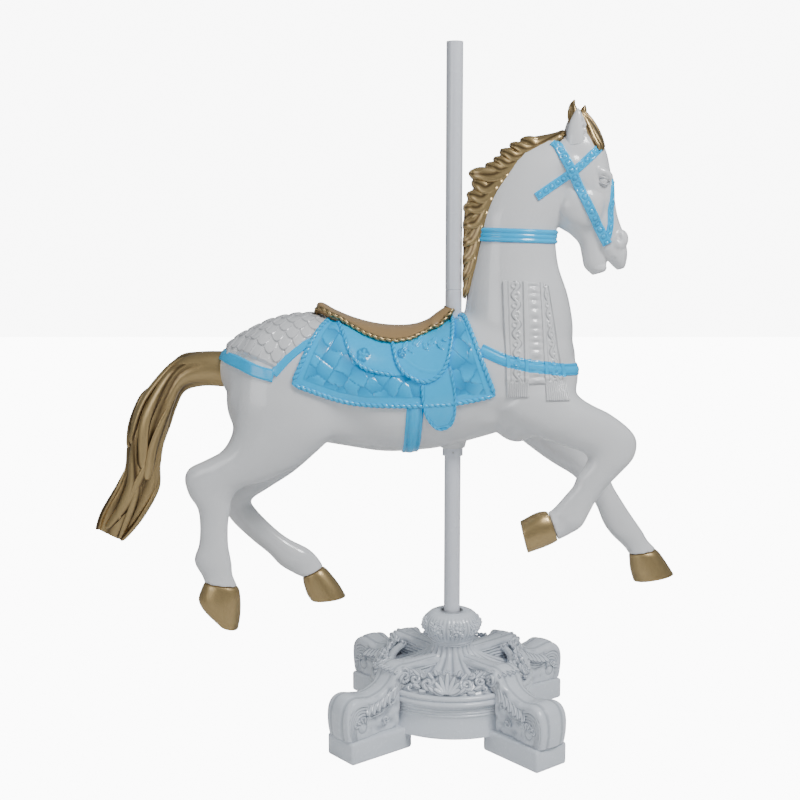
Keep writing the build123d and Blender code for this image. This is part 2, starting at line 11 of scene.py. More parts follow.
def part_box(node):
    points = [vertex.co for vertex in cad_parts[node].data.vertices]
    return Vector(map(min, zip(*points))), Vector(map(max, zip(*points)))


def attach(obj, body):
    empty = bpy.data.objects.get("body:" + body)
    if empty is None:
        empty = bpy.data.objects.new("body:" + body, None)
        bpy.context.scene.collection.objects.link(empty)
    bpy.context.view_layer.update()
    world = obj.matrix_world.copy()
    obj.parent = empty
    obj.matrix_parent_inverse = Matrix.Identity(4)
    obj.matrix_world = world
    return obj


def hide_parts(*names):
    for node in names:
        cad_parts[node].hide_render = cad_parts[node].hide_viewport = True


bl_info = {
    "name": "Carousel Horse Finishing",
    "version": (1, 0, 0),
    "blender": (4, 5, 0),
    "location": "View3D > Sidebar > Carousel",
    "description": "Carved skin, gilding, tack and pedestal of a jumping carousel horse",
    "category": "Object",
}

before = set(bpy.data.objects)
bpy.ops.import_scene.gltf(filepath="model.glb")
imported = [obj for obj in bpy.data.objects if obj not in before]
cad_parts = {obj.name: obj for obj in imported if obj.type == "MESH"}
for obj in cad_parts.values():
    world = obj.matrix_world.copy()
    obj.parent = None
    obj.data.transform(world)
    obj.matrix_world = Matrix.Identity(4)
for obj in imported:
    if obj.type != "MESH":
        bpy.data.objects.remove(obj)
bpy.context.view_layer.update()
MM = 0.001
HORSE_Z = 1.0          # the horse's datum height; side-view tables count from it, in millimetres
LEG_SIDE = 95          # how far out the middle of each leg lies
EYE_SIDE = 45          # how far out the middle of each eye lies
BAND_MIDDLE = 476      # height of the neck band
SIDES = (("right", -1), ("left", 1))
POLE_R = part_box("upper_pole")[1][0]

# Sections join a point on the upper or front line to one on the lower or back line, with a
# half width: (x, z), (x, z), half width, in millimetres from the pole's axis and the datum.
TORSO = [
    ((-690, 105), (-690, 75), 15), ((-675, 140), (-675, 40), 50), ((-640, 174), (-640, -20), 95),
    ((-590, 203), (-590, -75), 130), ((-520, 233), (-520, -110), 156),
    ((-430, 247), (-430, -119), 164), ((-330, 234), (-330, -136), 160),
    ((-200, 196), (-200, -154), 158), ((-80, 198), (-80, -148), 155),
    ((-20, 222), (-20, -138), 153), ((40, 252), (40, -124), 150), ((150, 275), (150, -92), 146),
    ((250, 265), (250, -58), 132), ((320, 225), (320, -8), 98), ((350, 165), (350, 58), 48),
    ((356, 132), (356, 94), 14),
]
NECK = [
    ((300, 40), (100, 40), 100), ((335, 120), (55, 120), 118), ((350, 200), (30, 200), 130),
    ((334, 300), (38, 300), 110), ((304, 390), (52, 390), 90), ((292, 480), (66, 480), 78),
]
THROAT = [
    ((292, 466), (66, 466), 78), ((302, 506), (72, 535), 76), ((328, 570), (105, 625), 72),
    ((350, 630), (165, 705), 66), ((372, 690), (255, 755), 52),
]
HEAD = [
    ((372, 780), (312, 760), 26), ((400, 768), (282, 730), 52), ((433, 723), (275, 659), 62),
    ((449, 662), (290, 596), 62), ((460, 603), (300, 539), 54), ((472, 536), (345, 486), 44),
    ((492, 480), (400, 443), 36), ((503, 432), (443, 408), 34), ((501, 400), (463, 388), 25),
    ((496, 383), (476, 377), 12),
]
JAW = [
    ((420, 590), (296, 560), 52), ((430, 545), (300, 506), 48), ((430, 512), (334, 482), 40),
    ((430, 476), (362, 454), 33), ((434, 441), (372, 416), 29), ((444, 406), (380, 385), 27),
    ((442, 374), (404, 362), 15),
]
EAR = [
    ((374, 735), (314, 728), 20), ((377, 762), (316, 758), 20), ((372, 795), (324, 794), 15),
    ((358, 822), (338, 823), 9), ((350, 834), (346, 834), 3),
]
LEGS = {
    "fore_right": (-1, [
        ((290, 80), (110, -30), 54), ((375, 9), (222, -92), 62), ((448, -32), (288, -117), 52),
        ((504, -75), (358, -138), 44), ((526, -112), (385, -158), 41), ((518, -160), (380, -182), 38),
        ((480, -205), (356, -216), 33), ((444, -243), (345, -244), 29), ((413, -285), (322, -272), 26),
        ((394, -322), (302, -296), 27), ((372, -362), (291, -308), 30), ((338, -385), (283, -315), 27),
        ((304, -402), (274, -320), 32),
    ]),
    "fore_left": (1, [
        ((290, 80), (110, -50), 52), ((362, -45), (205, -135), 60), ((412, -118), (300, -203), 48),
        ((452, -180), (368, -245), 39), ((476, -226), (400, -278), 36), ((492, -276), (421, -300), 31),
        ((522, -326), (447, -348), 27), ((551, -370), (466, -394), 26), ((586, -420), (492, -431), 31),
        ((604, -450), (532, -470), 27), ((631, -478), (548, -493), 32),
    ]),
    "hind_right": (-1, [
        ((-290, 60), (-626, 60), 66), ((-299, -15), (-634, -15), 74), ((-325, -70), (-640, -84), 72),
        ((-381, -130), (-669, -138), 61), ((-454, -190), (-719, -167), 49),
        ((-545, -228), (-765, -190), 41), ((-608, -246), (-779, -222), 37),
        ((-642, -278), (-768, -268), 33), ((-650, -318), (-744, -308), 29),
        ((-656, -365), (-738, -358), 25), ((-656, -420), (-742, -414), 26),
        ((-648, -470), (-756, -464), 31), ((-645, -508), (-734, -510), 27),
        ((-632, -542), (-728, -528), 32),
    ]),
    "hind_left": (1, [
        ((-290, 60), (-618, 60), 62), ((-325, -40), (-622, -50), 70), ((-369, -132), (-612, -136), 62),
        ((-461, -222), (-655, -230), 50), ((-556, -286), (-692, -280), 40),
        ((-608, -322), (-699, -330), 34), ((-598, -352), (-672, -386), 31),
        ((-545, -408), (-611, -447), 27), ((-497, -446), (-560, -490), 26),
        ((-440, -476), (-524, -528), 31), ((-411, -503), (-480, -555), 27),
        ((-392, -533), (-456, -565), 32),
    ]),
}
HOOVES = {
    "fore_right": (-1, [
        ((303, -403), (273, -320), 33), ((292, -410), (262, -318), 37), ((264, -423), (237, -324), 41),
        ((216, -440), (194, -348), 43),
    ]),
    "fore_left": (1, [
        ((631, -479), (548, -494), 33), ((642, -490), (549, -507), 37), ((662, -518), (553, -541), 41),
        ((686, -555), (564, -578), 45),
    ]),
    "hind_right": (-1, [
        ((-632, -543), (-728, -529), 33), ((-626, -556), (-736, -546), 37),
        ((-623, -590), (-746, -580), 42), ((-625, -632), (-729, -614), 42),
        ((-632, -669), (-684, -657), 38),
    ]),
    "hind_left": (1, [
        ((-391, -534), (-456, -566), 33), ((-376, -548), (-453, -586), 37),
        ((-345, -588), (-443, -619), 41), ((-323, -627), (-429, -640), 43),
    ]),
}
# Rounded masses laid over the plain forms: centre x, side, z, radii x, y, z, tilt in degrees
MUSCLES = [
    (215, 78, 45, 92, 66, 150, 24), (300, 52, 60, 62, 56, 88, 10), (-505, 72, 60, 130, 84, 150, -12),
    (-585, 62, 20, 74, 66, 120, 8), (-345, 88, -10, 78, 62, 110, -38), (180, 60, -60, 70, 46, 60, 30),
]
FACE_MASSES = [
    (366, 40, 560, 66, 30, 62, 22), (420, 46, 652, 34, 16, 18, 30), (474, 20, 462, 28, 20, 34, 22),
    (481, 8, 408, 20, 20, 24, 0), (330, 44, 668, 52, 26, 48, 0), (420, 8, 384, 24, 20, 16, 0),
]
# Places where the joined forms are blended: x, z, radius
BLENDS = [(200, 150, 190), (330, 20, 120), (230, -80, 120), (-560, -40, 150), (-330, -60, 130),
          (-640, 90, 100), (90, 190, 120), (-480, -120, 120)]
FACE_BLENDS = [(300, 640, 90), (350, 530, 70), (330, 740, 60), (420, 470, 40)]


# ---- Sizes and colours ----------------------------------------------------------------------
class HorseSizes(bpy.types.PropertyGroup):
    """Sizes of the horse's skin and carving."""

    body_voxel: FloatProperty(name="Body Voxel", description="Grain of the body skin",
                              default=0.0046, unit="LENGTH")
    head_voxel: FloatProperty(name="Head Voxel", description="Grain of the head skin",
                              default=0.0029, unit="LENGTH")
    eye_radius: FloatProperty(name="Eye Radius", description="Radius of the carved eye",
                              default=0.0128, unit="LENGTH")
    rope_radius: FloatProperty(name="Rope Radius", description="Radius of the rope edges",
                               default=0.0062, unit="LENGTH")
    quilt_pitch: FloatProperty(name="Quilt Pitch", description="Distance between quilting lines",
                               default=0.046, unit="LENGTH")
    strap_height: FloatProperty(name="Strap Height", description="How far a strap stands proud",
                                default=0.0062, unit="LENGTH")


class HorseColours(bpy.types.PropertyGroup):
    """Colours of the paints."""

    white: FloatVectorProperty(name="White", description="Body lacquer", subtype="COLOR", size=3,
                               default=(0.78, 0.78, 0.79), min=0, max=1)
    # painted shade: the colour the white lacquer takes in its hollows, creases and grooves
    white_shade: FloatVectorProperty(name="White Shade", description="Painted shade in the hollows of the lacquer",
                                     subtype="COLOR", size=3, default=(0.22, 0.23, 0.25), min=0, max=1)
    stand_white: FloatVectorProperty(name="Stand White", description="Pedestal gel coat",
                                     subtype="COLOR", size=3, default=(0.76, 0.80, 0.86), min=0, max=1)
    blue: FloatVectorProperty(name="Sky Blue", description="Tack paint", subtype="COLOR", size=3,
                              default=(0.0, 0.53, 1.0), min=0, max=1)
    gold: FloatVectorProperty(name="Gold", description="Gold paint of mane, tail and hooves",
                              subtype="COLOR", size=3, default=(0.47, 0.335, 0.155), min=0, max=1)
    bronze: FloatVectorProperty(name="Bronze", description="Saddle seat paint", subtype="COLOR",
                                size=3, default=(0.095, 0.06, 0.03), min=0, max=1)


def sizes():
    """The sizes set in the panel."""
    return bpy.context.scene.carousel_sizes


def colours():
    """The colours set in the panel."""
    return bpy.context.scene.carousel_colours


# ---- Mesh helpers ---------------------------------------------------------------------------
def clear_selection():
    """Leave object mode with nothing selected."""
    if bpy.context.object and bpy.context.object.mode != "OBJECT":
        bpy.ops.object.mode_set(mode="OBJECT")
    bpy.ops.object.select_all(action="DESELECT")


def place(x, z, y=0.0):
    """A point from the horse's side-view millimetres."""
    return Vector((x * MM, y * MM, HORSE_Z + z * MM))


def make_object(name, verts, faces, painted_shade=None):
    """A mesh object at the origin, smooth shaded, with an optional mask of painted shade per point."""
    mesh = bpy.data.meshes.new(name)
    mesh.from_pydata([tuple(v) for v in verts], [], faces)
    mesh.validate()
    if painted_shade is not None and len(painted_shade) == len(mesh.vertices):
        mask = mesh.attributes.new("painted_shade", "FLOAT", "POINT")
        mask.data.foreach_set("value", np.asarray(painted_shade, dtype=np.float32))
    obj = bpy.data.objects.new(name, mesh)
    bpy.context.collection.objects.link(obj)
    mesh.polygons.foreach_set("use_smooth", [True] * len(mesh.polygons))
    return obj


def outward(obj):
    """Turn a closed piece's faces outwards."""
    data = bmesh.new()
    data.from_mesh(obj.data)
    bmesh.ops.recalc_face_normals(data, faces=data.faces)
    data.to_mesh(obj.data)
    data.free()
    return obj


def select_only(*objects):
    """Leave only these selected, the first of them active."""
    clear_selection()
    for obj in objects:
        obj.select_set(True)
    bpy.context.view_layer.objects.active = objects[0]


def apply_modifier(obj, kind, **settings):
    """Add one modifier, set it and apply it."""
    select_only(obj)
    step = obj.modifiers.new(kind.title(), kind)
    for name, value in settings.items():
        setattr(step, name, value)
    bpy.ops.object.modifier_apply(modifier=step.name)


def joined(name, objects):
    """Join several pieces into one."""
    select_only(*objects)
    if len(objects) > 1:
        bpy.ops.object.join()
    objects[0].name = name
    objects[0].data.name = name
    return objects[0]


def flow(rows, steps):
    """Smooth rows of numbers through the given rows, steps to each span."""
    rows = np.asarray(rows, dtype=float)
    padded = np.vstack([2 * rows[0] - rows[1], rows, 2 * rows[-1] - rows[-2]])
    out = []
    for index in range(len(rows) - 1):
        before, start, end, after = padded[index:index + 4]
        for step in range(steps):
            t = step / steps
            out.append(0.5 * (2 * start + (end - before) * t
                              + (2 * before - 5 * start + 4 * end - after) * t * t
                              + (3 * start - before - 3 * end + after) * t ** 3))
    out.append(rows[-1])
    return np.array(out)


def ring_faces(rings, around):
    """Quads that join rings of points into a tube, and a cap at each end."""
    faces = []
    for ring in range(rings - 1):
        for k in range(around):
            a, b = ring * around + k, ring * around + (k + 1) % around
            faces.append((a, b, b + around, a + around))
    faces.append(tuple(range(around))[::-1])
    faces.append(tuple((rings - 1) * around + k for k in range(around)))
    return faces


def lengths(path):
    """The distance along a path at each of its points."""
    return np.concatenate([[0], np.cumsum(np.linalg.norm(np.diff(path, axis=0), axis=1))])


def read_at(places, known, values):
    """Rows of values, read at places between the known ones."""
    return np.stack([np.interp(places, known, values[:, a]) for a in range(values.shape[1])], axis=-1)


def section_rows(sections):
    """Sections as rows of numbers."""
    return [(f[0], f[1], b[0], b[1], w) for f, b, w in sections]


def tube(sections, side=0.0, steps=5, around=40, square=2.0):
    """Points and faces of a closed tube through elliptical sections."""
    rows = flow(section_rows(sections), steps)
    angle = np.linspace(0, 2 * math.pi, around, endpoint=False)
    lengthwise = np.sign(np.cos(angle)) * np.abs(np.cos(angle)) ** (2 / square)
    sideways = np.sign(np.sin(angle)) * np.abs(np.sin(angle)) ** (2 / square)
    points = []
    for fx, fz, bx, bz, width in rows:
        for along, across in zip(lengthwise, sideways):
            points.append(place((fx + bx) / 2 + along * (fx - bx) / 2,
                                (fz + bz) / 2 + along * (fz - bz) / 2, side + across * width))
    return points, ring_faces(len(rows), around)


def ball(x, side, z, rx, ry, rz, tilt=0.0, rings=14, around=24):
    """Points and faces of a tilted ellipsoid."""
    turn = math.radians(tilt)
    points = []
    for i in range(rings + 1):
        polar = math.pi * (i + 0.001 * (i == 0) - 0.001 * (i == rings)) / rings
        for k in range(around):
            around_angle = 2 * math.pi * k / around
            px = rx * math.sin(polar) * math.cos(around_angle)
            py = ry * math.sin(polar) * math.sin(around_angle)
            pz = rz * math.cos(polar)
            points.append(place(x + px * math.cos(turn) + pz * math.sin(turn),
                                z - px * math.sin(turn) + pz * math.cos(turn), side + py))
    return points, ring_faces(rings + 1, around)


def merge(parts):
    """Several (points, faces) as one."""
    points, faces = [], []
    for some_points, some_faces in parts:
        start = len(points)
        points.extend(some_points)
        faces.extend(tuple(start + i for i in face) for face in some_faces)
    return points, faces


def mesh_arrays(obj):
    """A mesh's points and edges as arrays."""
    points = np.empty(len(obj.data.vertices) * 3)
    obj.data.vertices.foreach_get("co", points)
    edges = np.empty(len(obj.data.edges) * 2, dtype=np.int64)
    obj.data.edges.foreach_get("vertices", edges)
    return points.reshape(-1, 3), edges.reshape(-1, 2)


def set_points(obj, points):
    """Write points back to a mesh."""
    obj.data.vertices.foreach_set("co", np.asarray(points, dtype=np.float32).ravel())
    obj.data.update()


def relax(obj, spots, rounds=60, base=0.0, base_rounds=0):
    """Blend the skin near each spot (x, z, radius), with a little smoothing everywhere."""
    points, edges = mesh_arrays(obj)
    count = np.bincount(edges.ravel(), minlength=len(points)).clip(1)
    weight = np.zeros(len(points))
    for x, z, radius in spots:
        far = np.hypot(points[:, 0] - x * MM, points[:, 2] - HORSE_Z - z * MM) / (radius * MM)
        weight = np.maximum(weight, np.clip(1.3 * (1 - far), 0, 1))
    for step in range(max(rounds, base_rounds)):
        total = np.zeros_like(points)
        for axis in range(3):
            total[:, axis] = (np.bincount(edges[:, 0], points[edges[:, 1], axis], len(points))
                              + np.bincount(edges[:, 1], points[edges[:, 0], axis], len(points)))
        pull = np.maximum(weight * (step < rounds), base * (step < base_rounds))
        points += 0.6 * pull[:, None] * (total / count[:, None] - points)
    set_points(obj, points)


def press(obj, centre, radius, depth, both=True, stretch=(1, 1, 1)):
    """Push the skin in (or out, if depth is negative) around a place, on one side or both."""
    points, _ = mesh_arrays(obj)
    normals = np.empty(len(points) * 3)
    obj.data.vertices.foreach_get("normal", normals)
    normals = normals.reshape(-1, 3)
    x, side, z = centre
    for way in ((-1, 1) if both else (1,)):
        spot = np.array(place(x, z, way * side))
        far = np.sqrt((((points - spot) / (radius * MM * np.array(stretch))) ** 2).sum(axis=1))
        fall = np.clip(1 - far, 0, 1) ** 2 * (3 - 2 * np.clip(1 - far, 0, 1))
        points -= normals * (depth * MM * fall)[:, None]
    set_points(obj, points)


def remeshed(name, parts, voxel):
    """One closed skin over overlapping forms."""
    obj = outward(make_object(name, *merge(parts)))
    apply_modifier(obj, "REMESH", mode="VOXEL", voxel_size=voxel, use_smooth_shade=True)
    return obj


def finish_piece(obj, body, slot, material, *nodes):
    """Ride, replace and paint one finished piece; its slot is not used."""
    obj.data.materials.clear()
    obj.data.materials.append(material)
    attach(obj, body)
    if nodes:
        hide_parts(*nodes)
    return obj


# ---- Paints ---------------------------------------------------------------------------------
def link(tree, *pairs):
    """Link pairs of sockets in a node tree."""
    for start, end in pairs:
        tree.links.new(start, end)


def paint_and_shade_group():
    """Brush drift, painted shade in the hollows and roughness of one coat of paint."""
    group = bpy.data.node_groups.get("Paint And Painted Shade")
    if group:
        return group
    group = bpy.data.node_groups.new("Paint And Painted Shade", "ShaderNodeTree")
    for name, kind in (("Colour", "NodeSocketColor"), ("Painted Shade Colour", "NodeSocketColor"),
                       ("Drift", "NodeSocketFloat"), ("Gloss", "NodeSocketFloat"),
                       ("Grain Scale", "NodeSocketFloat")):
        group.interface.new_socket(name, in_out="INPUT", socket_type=kind)
    for name, kind in (("Colour", "NodeSocketColor"), ("Roughness", "NodeSocketFloat"),
                       ("Height", "NodeSocketFloat")):
        group.interface.new_socket(name, in_out="OUTPUT", socket_type=kind)
    nodes = group.nodes
    source, out = nodes.new("NodeGroupInput"), nodes.new("NodeGroupOutput")
    where = nodes.new("ShaderNodeTexCoord")
    clouds, grain = nodes.new("ShaderNodeTexNoise"), nodes.new("ShaderNodeTexNoise")
    clouds.inputs["Scale"].default_value = 5.0
    clouds.inputs["Detail"].default_value = 4.0
    grain.inputs["Detail"].default_value = 3.0
    # painted shade: each piece's mask marks its hollows, grooves and creases, and the mix below darkens
    # the colour there towards the shade colour
    painted_shade = nodes.new("ShaderNodeAttribute")
    painted_shade.attribute_name = "painted_shade"
    shade = nodes.new("ShaderNodeHueSaturation")
    value = nodes.new("ShaderNodeMapRange")
    value.inputs["To Min"].default_value = 0.9
    value.inputs["To Max"].default_value = 1.08
    drift = nodes.new("ShaderNodeMix")
    mix = nodes.new("ShaderNodeMix")
    for node in (drift, mix):
        node.data_type = "RGBA"
    rough = nodes.new("ShaderNodeMath")
    rough.operation = "MULTIPLY_ADD"
    rough.inputs[1].default_value = 0.12
    link(group,
         (where.outputs["Object"], clouds.inputs["Vector"]),
         (where.outputs["Object"], grain.inputs["Vector"]),
         (source.outputs["Grain Scale"], grain.inputs["Scale"]),
         (clouds.outputs["Fac"], value.inputs["Value"]), (value.outputs["Result"], shade.inputs["Value"]),
         (source.outputs["Colour"], shade.inputs["Color"]),
         (source.outputs["Drift"], drift.inputs[0]), (source.outputs["Colour"], drift.inputs[6]),
         (shade.outputs["Color"], drift.inputs[7]), (painted_shade.outputs["Fac"], mix.inputs[0]),
         (drift.outputs[2], mix.inputs[6]), (source.outputs["Painted Shade Colour"], mix.inputs[7]),
         (mix.outputs[2], out.inputs["Colour"]), (grain.outputs["Fac"], rough.inputs[0]),
         (source.outputs["Gloss"], rough.inputs[2]), (rough.outputs[0], out.inputs["Roughness"]),
         (grain.outputs["Fac"], out.inputs["Height"]))
    return group


def paint(name, colour, shade_colour, gloss=0.16, metallic=0.0, drift=1.0, grain=60.0, bump=0.04, coat=0.6):
    """One coat of paint as a material."""
    material = bpy.data.materials.get(name)
    if material:
        return material
    material = bpy.data.materials.new(name)
    material.use_nodes = True
    tree = material.node_tree
    shader = tree.nodes["Principled BSDF"]
    paint_and_shade = tree.nodes.new("ShaderNodeGroup")
    paint_and_shade.node_tree = paint_and_shade_group()
    paint_and_shade.inputs["Colour"].default_value = (*colour, 1)
    # colour of the painted shade in the hollows
    paint_and_shade.inputs["Painted Shade Colour"].default_value = (*shade_colour, 1)
    paint_and_shade.inputs["Drift"].default_value = drift
    paint_and_shade.inputs["Gloss"].default_value = gloss
    paint_and_shade.inputs["Grain Scale"].default_value = grain
    relief = tree.nodes.new("ShaderNodeBump")
    relief.inputs["Strength"].default_value = bump
    relief.inputs["Distance"].default_value = 0.002
    shader.inputs["Metallic"].default_value = metallic
    shader.inputs["Coat Weight"].default_value = coat
    shader.inputs["Coat Roughness"].default_value = 0.06
    link(tree, (paint_and_shade.outputs["Colour"], shader.inputs["Base Color"]),
         (paint_and_shade.outputs["Roughness"], shader.inputs["Roughness"]),
         (paint_and_shade.outputs["Height"], relief.inputs["Height"]),
         (relief.outputs["Normal"], shader.inputs["Normal"]))
    return material


# One row for each kind of paint: material, colour, colour of the painted shade in the hollows (a name is
# a colour of the panel), and how the coat lies
PAINTS = {
    "white": ("horse_lacquer", "white", "white_shade", {"gloss": 0.17, "drift": 0.5}),
    "stand": ("pedestal_gel_coat", "stand_white", (0.20, 0.23, 0.28),
              {"gloss": 0.2, "drift": 0.6, "grain": 90, "bump": 0.08}),
    "blue": ("sky_blue_paint", "blue", (0.0, 0.19, 0.46), {"gloss": 0.13, "drift": 0.9, "coat": 0.35}),
    "gold": ("gold_paint", "gold", (0.055, 0.028, 0.008),
             {"gloss": 0.3, "metallic": 0.85, "grain": 140, "bump": 0.15, "coat": 0.25}),
    "bronze": ("saddle_bronze", "bronze", (0.035, 0.02, 0.008),
               {"gloss": 0.36, "metallic": 0.7, "grain": 120, "bump": 0.12, "coat": 0.08}),
    "steel": ("pole_enamel", (0.76, 0.78, 0.84), (0.3, 0.3, 0.33),
              {"gloss": 0.2, "drift": 0.4, "grain": 40, "bump": 0.03}),
    "bare": ("bare_steel", (0.5, 0.51, 0.53), (0.2, 0.2, 0.2),
             {"gloss": 0.3, "metallic": 1.0, "grain": 200, "bump": 0.1, "coat": 0.0}),
    "bush": ("bush_nylon", (0.30, 0.29, 0.26), (0.15, 0.14, 0.12),
             {"gloss": 0.45, "drift": 0.4, "coat": 0.0}),
}


def coat_of(kind):
    """The material of one kind of paint."""
    name, colour, shade_colour, settings = PAINTS[kind]
    if isinstance(colour, str):
        colour = getattr(colours(), colour)
    if isinstance(shade_colour, str):
        shade_colour = getattr(colours(), shade_colour)
    return paint(name, colour, shade_colour, **settings)


# ---- Horse's skin ---------------------------------------------------------------------------
class CAROUSEL_OT_body(bpy.types.Operator):
    """Torso, lower neck and legs as one lacquered skin"""

    bl_idname = "carousel.body"
    bl_label = "Body Skin"

    def execute(self, context):
        parts = [tube(TORSO, steps=5, around=56, square=2.15), tube(NECK, steps=5, around=48)]
        for way, sections in LEGS.values():
            parts.append(tube(sections, way * LEG_SIDE, steps=6, around=36, square=2.1))
        for x, side, z, rx, ry, rz, tilt in MUSCLES:
            parts += [ball(x, way * side, z, rx, ry, rz, tilt) for way in (-1, 1)]
        skin = remeshed("horse_body_skin", parts, sizes().body_voxel)
        relax(skin, BLENDS, rounds=70, base=0.5, base_rounds=4)
        press(skin, (-300, 150, -40), 90, 9)     # flank
        press(skin, (120, 140, -30), 60, 7)      # elbow
        press(skin, (60, 120, 330), 60, 5)       # side of the neck
        press(skin, (250, 125, 60), 55, 5)       # shoulder
        nodes = ["torso_shell", "neck_shell"]
        nodes += [f"{leg}_{part}_leg" for leg in LEGS for part in ("upper", "lower")]
        finish_piece(skin, "horse", "horse_white", coat_of("white"), *nodes)
        return {"FINISHED"}


class CAROUSEL_OT_head(bpy.types.Operator):
    """Upper neck, head and jaw as one lacquered skin with carved features"""

    bl_idname = "carousel.head"
    bl_label = "Head Skin"

    def execute(self, context):
        parts = [tube(THROAT, steps=6, around=48), tube(HEAD, steps=7, around=44, square=2.2),
                 tube(JAW, steps=5, around=32)]
        for x, side, z, rx, ry, rz, tilt in FACE_MASSES:
            parts += [ball(x, way * side, z, rx, ry, rz, tilt) for way in (-1, 1)]
        skin = remeshed("horse_head_skin", parts, sizes().head_voxel)
        relax(skin, FACE_BLENDS, rounds=40, base=0.5, base_rounds=5)
        press(skin, (424, 60, 632), 26, 9)                            # eye socket
        press(skin, (474, 34, 470), 14, 10, stretch=(0.7, 1, 1.25))   # nostril
        press(skin, (474, 34, 448), 20, -4)                           # nostril's flesh
        press(skin, (440, 45, 545), 40, 5)                            # face below the cheek
        press(skin, (352, 60, 612), 30, 4)                            # behind the cheek
        press(skin, (462, 26, 412), 10, 4)                            # lip line
        finish_piece(skin, "horse", "horse_white", coat_of("white"), "head_shell", "lower_jaw")
        return {"FINISHED"}


class CAROUSEL_OT_ears(bpy.types.Operator):
    """Two cupped ears"""

    bl_idname = "carousel.ears"
    bl_label = "Ears"

    def execute(self, context):
        for side, way in SIDES:
            points, faces = tube(EAR, way * 38, steps=6, around=28)
            ear = outward(make_object(f"carved_ear_{side}", points, faces))
            apply_modifier(ear, "REMESH", mode="VOXEL", voxel_size=0.0016, use_smooth_shade=True)
            relax(ear, [], rounds=0, base=0.5, base_rounds=4)
            # the cup opens forwards and outwards
            for z, depth in ((760, 8), (780, 9), (800, 7), (815, 4)):
                press(ear, (374 - (z - 750) * 0.12, way * 48, z), 16, depth, both=False)
            finish_piece(ear, "horse", "horse_white", coat_of("white"), f"ear_{side}")
        return {"FINISHED"}


class CAROUSEL_OT_hooves(bpy.types.Operator):
    """Four gilded hooves with a hollowed sole"""

    bl_idname = "carousel.hooves"
    bl_label = "Hooves"

    def execute(self, context):
        for name, (way, sections) in HOOVES.items():
            points, faces = tube(sections, way * LEG_SIDE, steps=6, around=48, square=2.15)
            hoof = outward(make_object(f"gilded_{name}_hoof", points, faces))
            hoof.data.polygons[-1].use_smooth = False
            select_only(hoof)
            bpy.ops.object.mode_set(mode="EDIT")
            bpy.ops.mesh.select_all(action="DESELECT")
            bpy.ops.object.mode_set(mode="OBJECT")
            hoof.data.polygons[-1].select = True
            bpy.ops.object.mode_set(mode="EDIT")
            bpy.ops.mesh.inset(thickness=0.009, depth=0)
            bpy.ops.mesh.inset(thickness=0.003, depth=-0.006)
            bpy.ops.object.mode_set(mode="OBJECT")
            apply_modifier(hoof, "BEVEL", width=0.003, segments=2, limit_method="ANGLE",
                           angle_limit=math.radians(40))
            finish_piece(hoof, "horse", "gold_hoof", coat_of("gold"), f"{name}_hoof")
        return {"FINISHED"}


# ---- Stage ----------------------------------------------------------------------------------
BACKDROP = 11.0        # how bright the paper behind and under the horse looks
FLOOR_SIZE = 30.0
SKY_COLOUR, SKY_STRENGTH = (0.86, 0.94, 1, 1), 0.29
LAMP_AIM = (0, 0, 1.0)
LAMPS = (              # name, place, power, width
    ("key", (1.9, -2.6, 4.4), 190, 1.3), ("fill", (-3.0, -3.2, 2.0), 34, 1.8),
    ("back", (0.6, 3.2, 3.4), 40, 2.5),
)
CAMERA_PLACE = (-0.156, -3.629, 1.468)
CAMERA_FALL = 7.41     # degrees the camera looks down
CAMERA_LENS, CAMERA_SENSOR = 55.87, 36


class CAROUSEL_OT_stage(bpy.types.Operator):
    """Pale floor, soft lights and the camera"""

    bl_idname = "carousel.stage"
    bl_label = "Stage"

    def execute(self, context):
        clear_selection()
        bpy.ops.mesh.primitive_grid_add(x_subdivisions=8, y_subdivisions=8, size=FLOOR_SIZE)
        floor = bpy.context.object
        floor.name = "floor"
        paper = bpy.data.materials.new("floor_paper")
        paper.use_nodes = True
        tree = paper.node_tree
        lit, seen = tree.nodes.new("ShaderNodeEmission"), tree.nodes.new("ShaderNodeLightPath")
        swap, rough = tree.nodes.new("ShaderNodeMixShader"), tree.nodes["Principled BSDF"]
        lit.inputs["Strength"].default_value = BACKDROP
        rough.inputs["Base Color"].default_value = (0.8, 0.8, 0.8, 1)
        rough.inputs["Roughness"].default_value = 0.9
        link(tree, (seen.outputs["Is Camera Ray"], swap.inputs[0]), (rough.outputs[0], swap.inputs[1]),
             (lit.outputs[0], swap.inputs[2]),
             (swap.outputs[0], tree.nodes["Material Output"].inputs["Surface"]))
        floor.data.materials.append(paper)
        world = context.scene.world or bpy.data.worlds.new("studio")
        context.scene.world = world
        world.use_nodes = True
        sky = world.node_tree
        sky.nodes["Background"].inputs["Color"].default_value = SKY_COLOUR
        sky.nodes["Background"].inputs["Strength"].default_value = SKY_STRENGTH
        paper = sky.nodes.new("ShaderNodeBackground")
        paper.inputs["Strength"].default_value = BACKDROP
        seen, swap = sky.nodes.new("ShaderNodeLightPath"), sky.nodes.new("ShaderNodeMixShader")
        link(sky, (seen.outputs["Is Camera Ray"], swap.inputs[0]),
             (sky.nodes["Background"].outputs[0], swap.inputs[1]), (paper.outputs[0], swap.inputs[2]),
             (swap.outputs[0], sky.nodes["World Output"].inputs["Surface"]))
        for name, where, power, width in LAMPS:
            bpy.ops.object.light_add(type="AREA", location=where)
            lamp = bpy.context.object
            lamp.name = name
            lamp.data.energy = power
            lamp.data.size = width
            lamp.visible_glossy = name != "back"
            aim = Vector(LAMP_AIM) - Vector(where)
            lamp.rotation_euler = aim.to_track_quat("-Z", "Y").to_euler()
        bpy.ops.object.camera_add(location=CAMERA_PLACE,
                                  rotation=(math.radians(90 - CAMERA_FALL), 0, 0))
        camera = bpy.context.object
        camera.data.lens = CAMERA_LENS
        camera.data.sensor_width = CAMERA_SENSOR
        context.scene.camera = camera
        return {"FINISHED"}


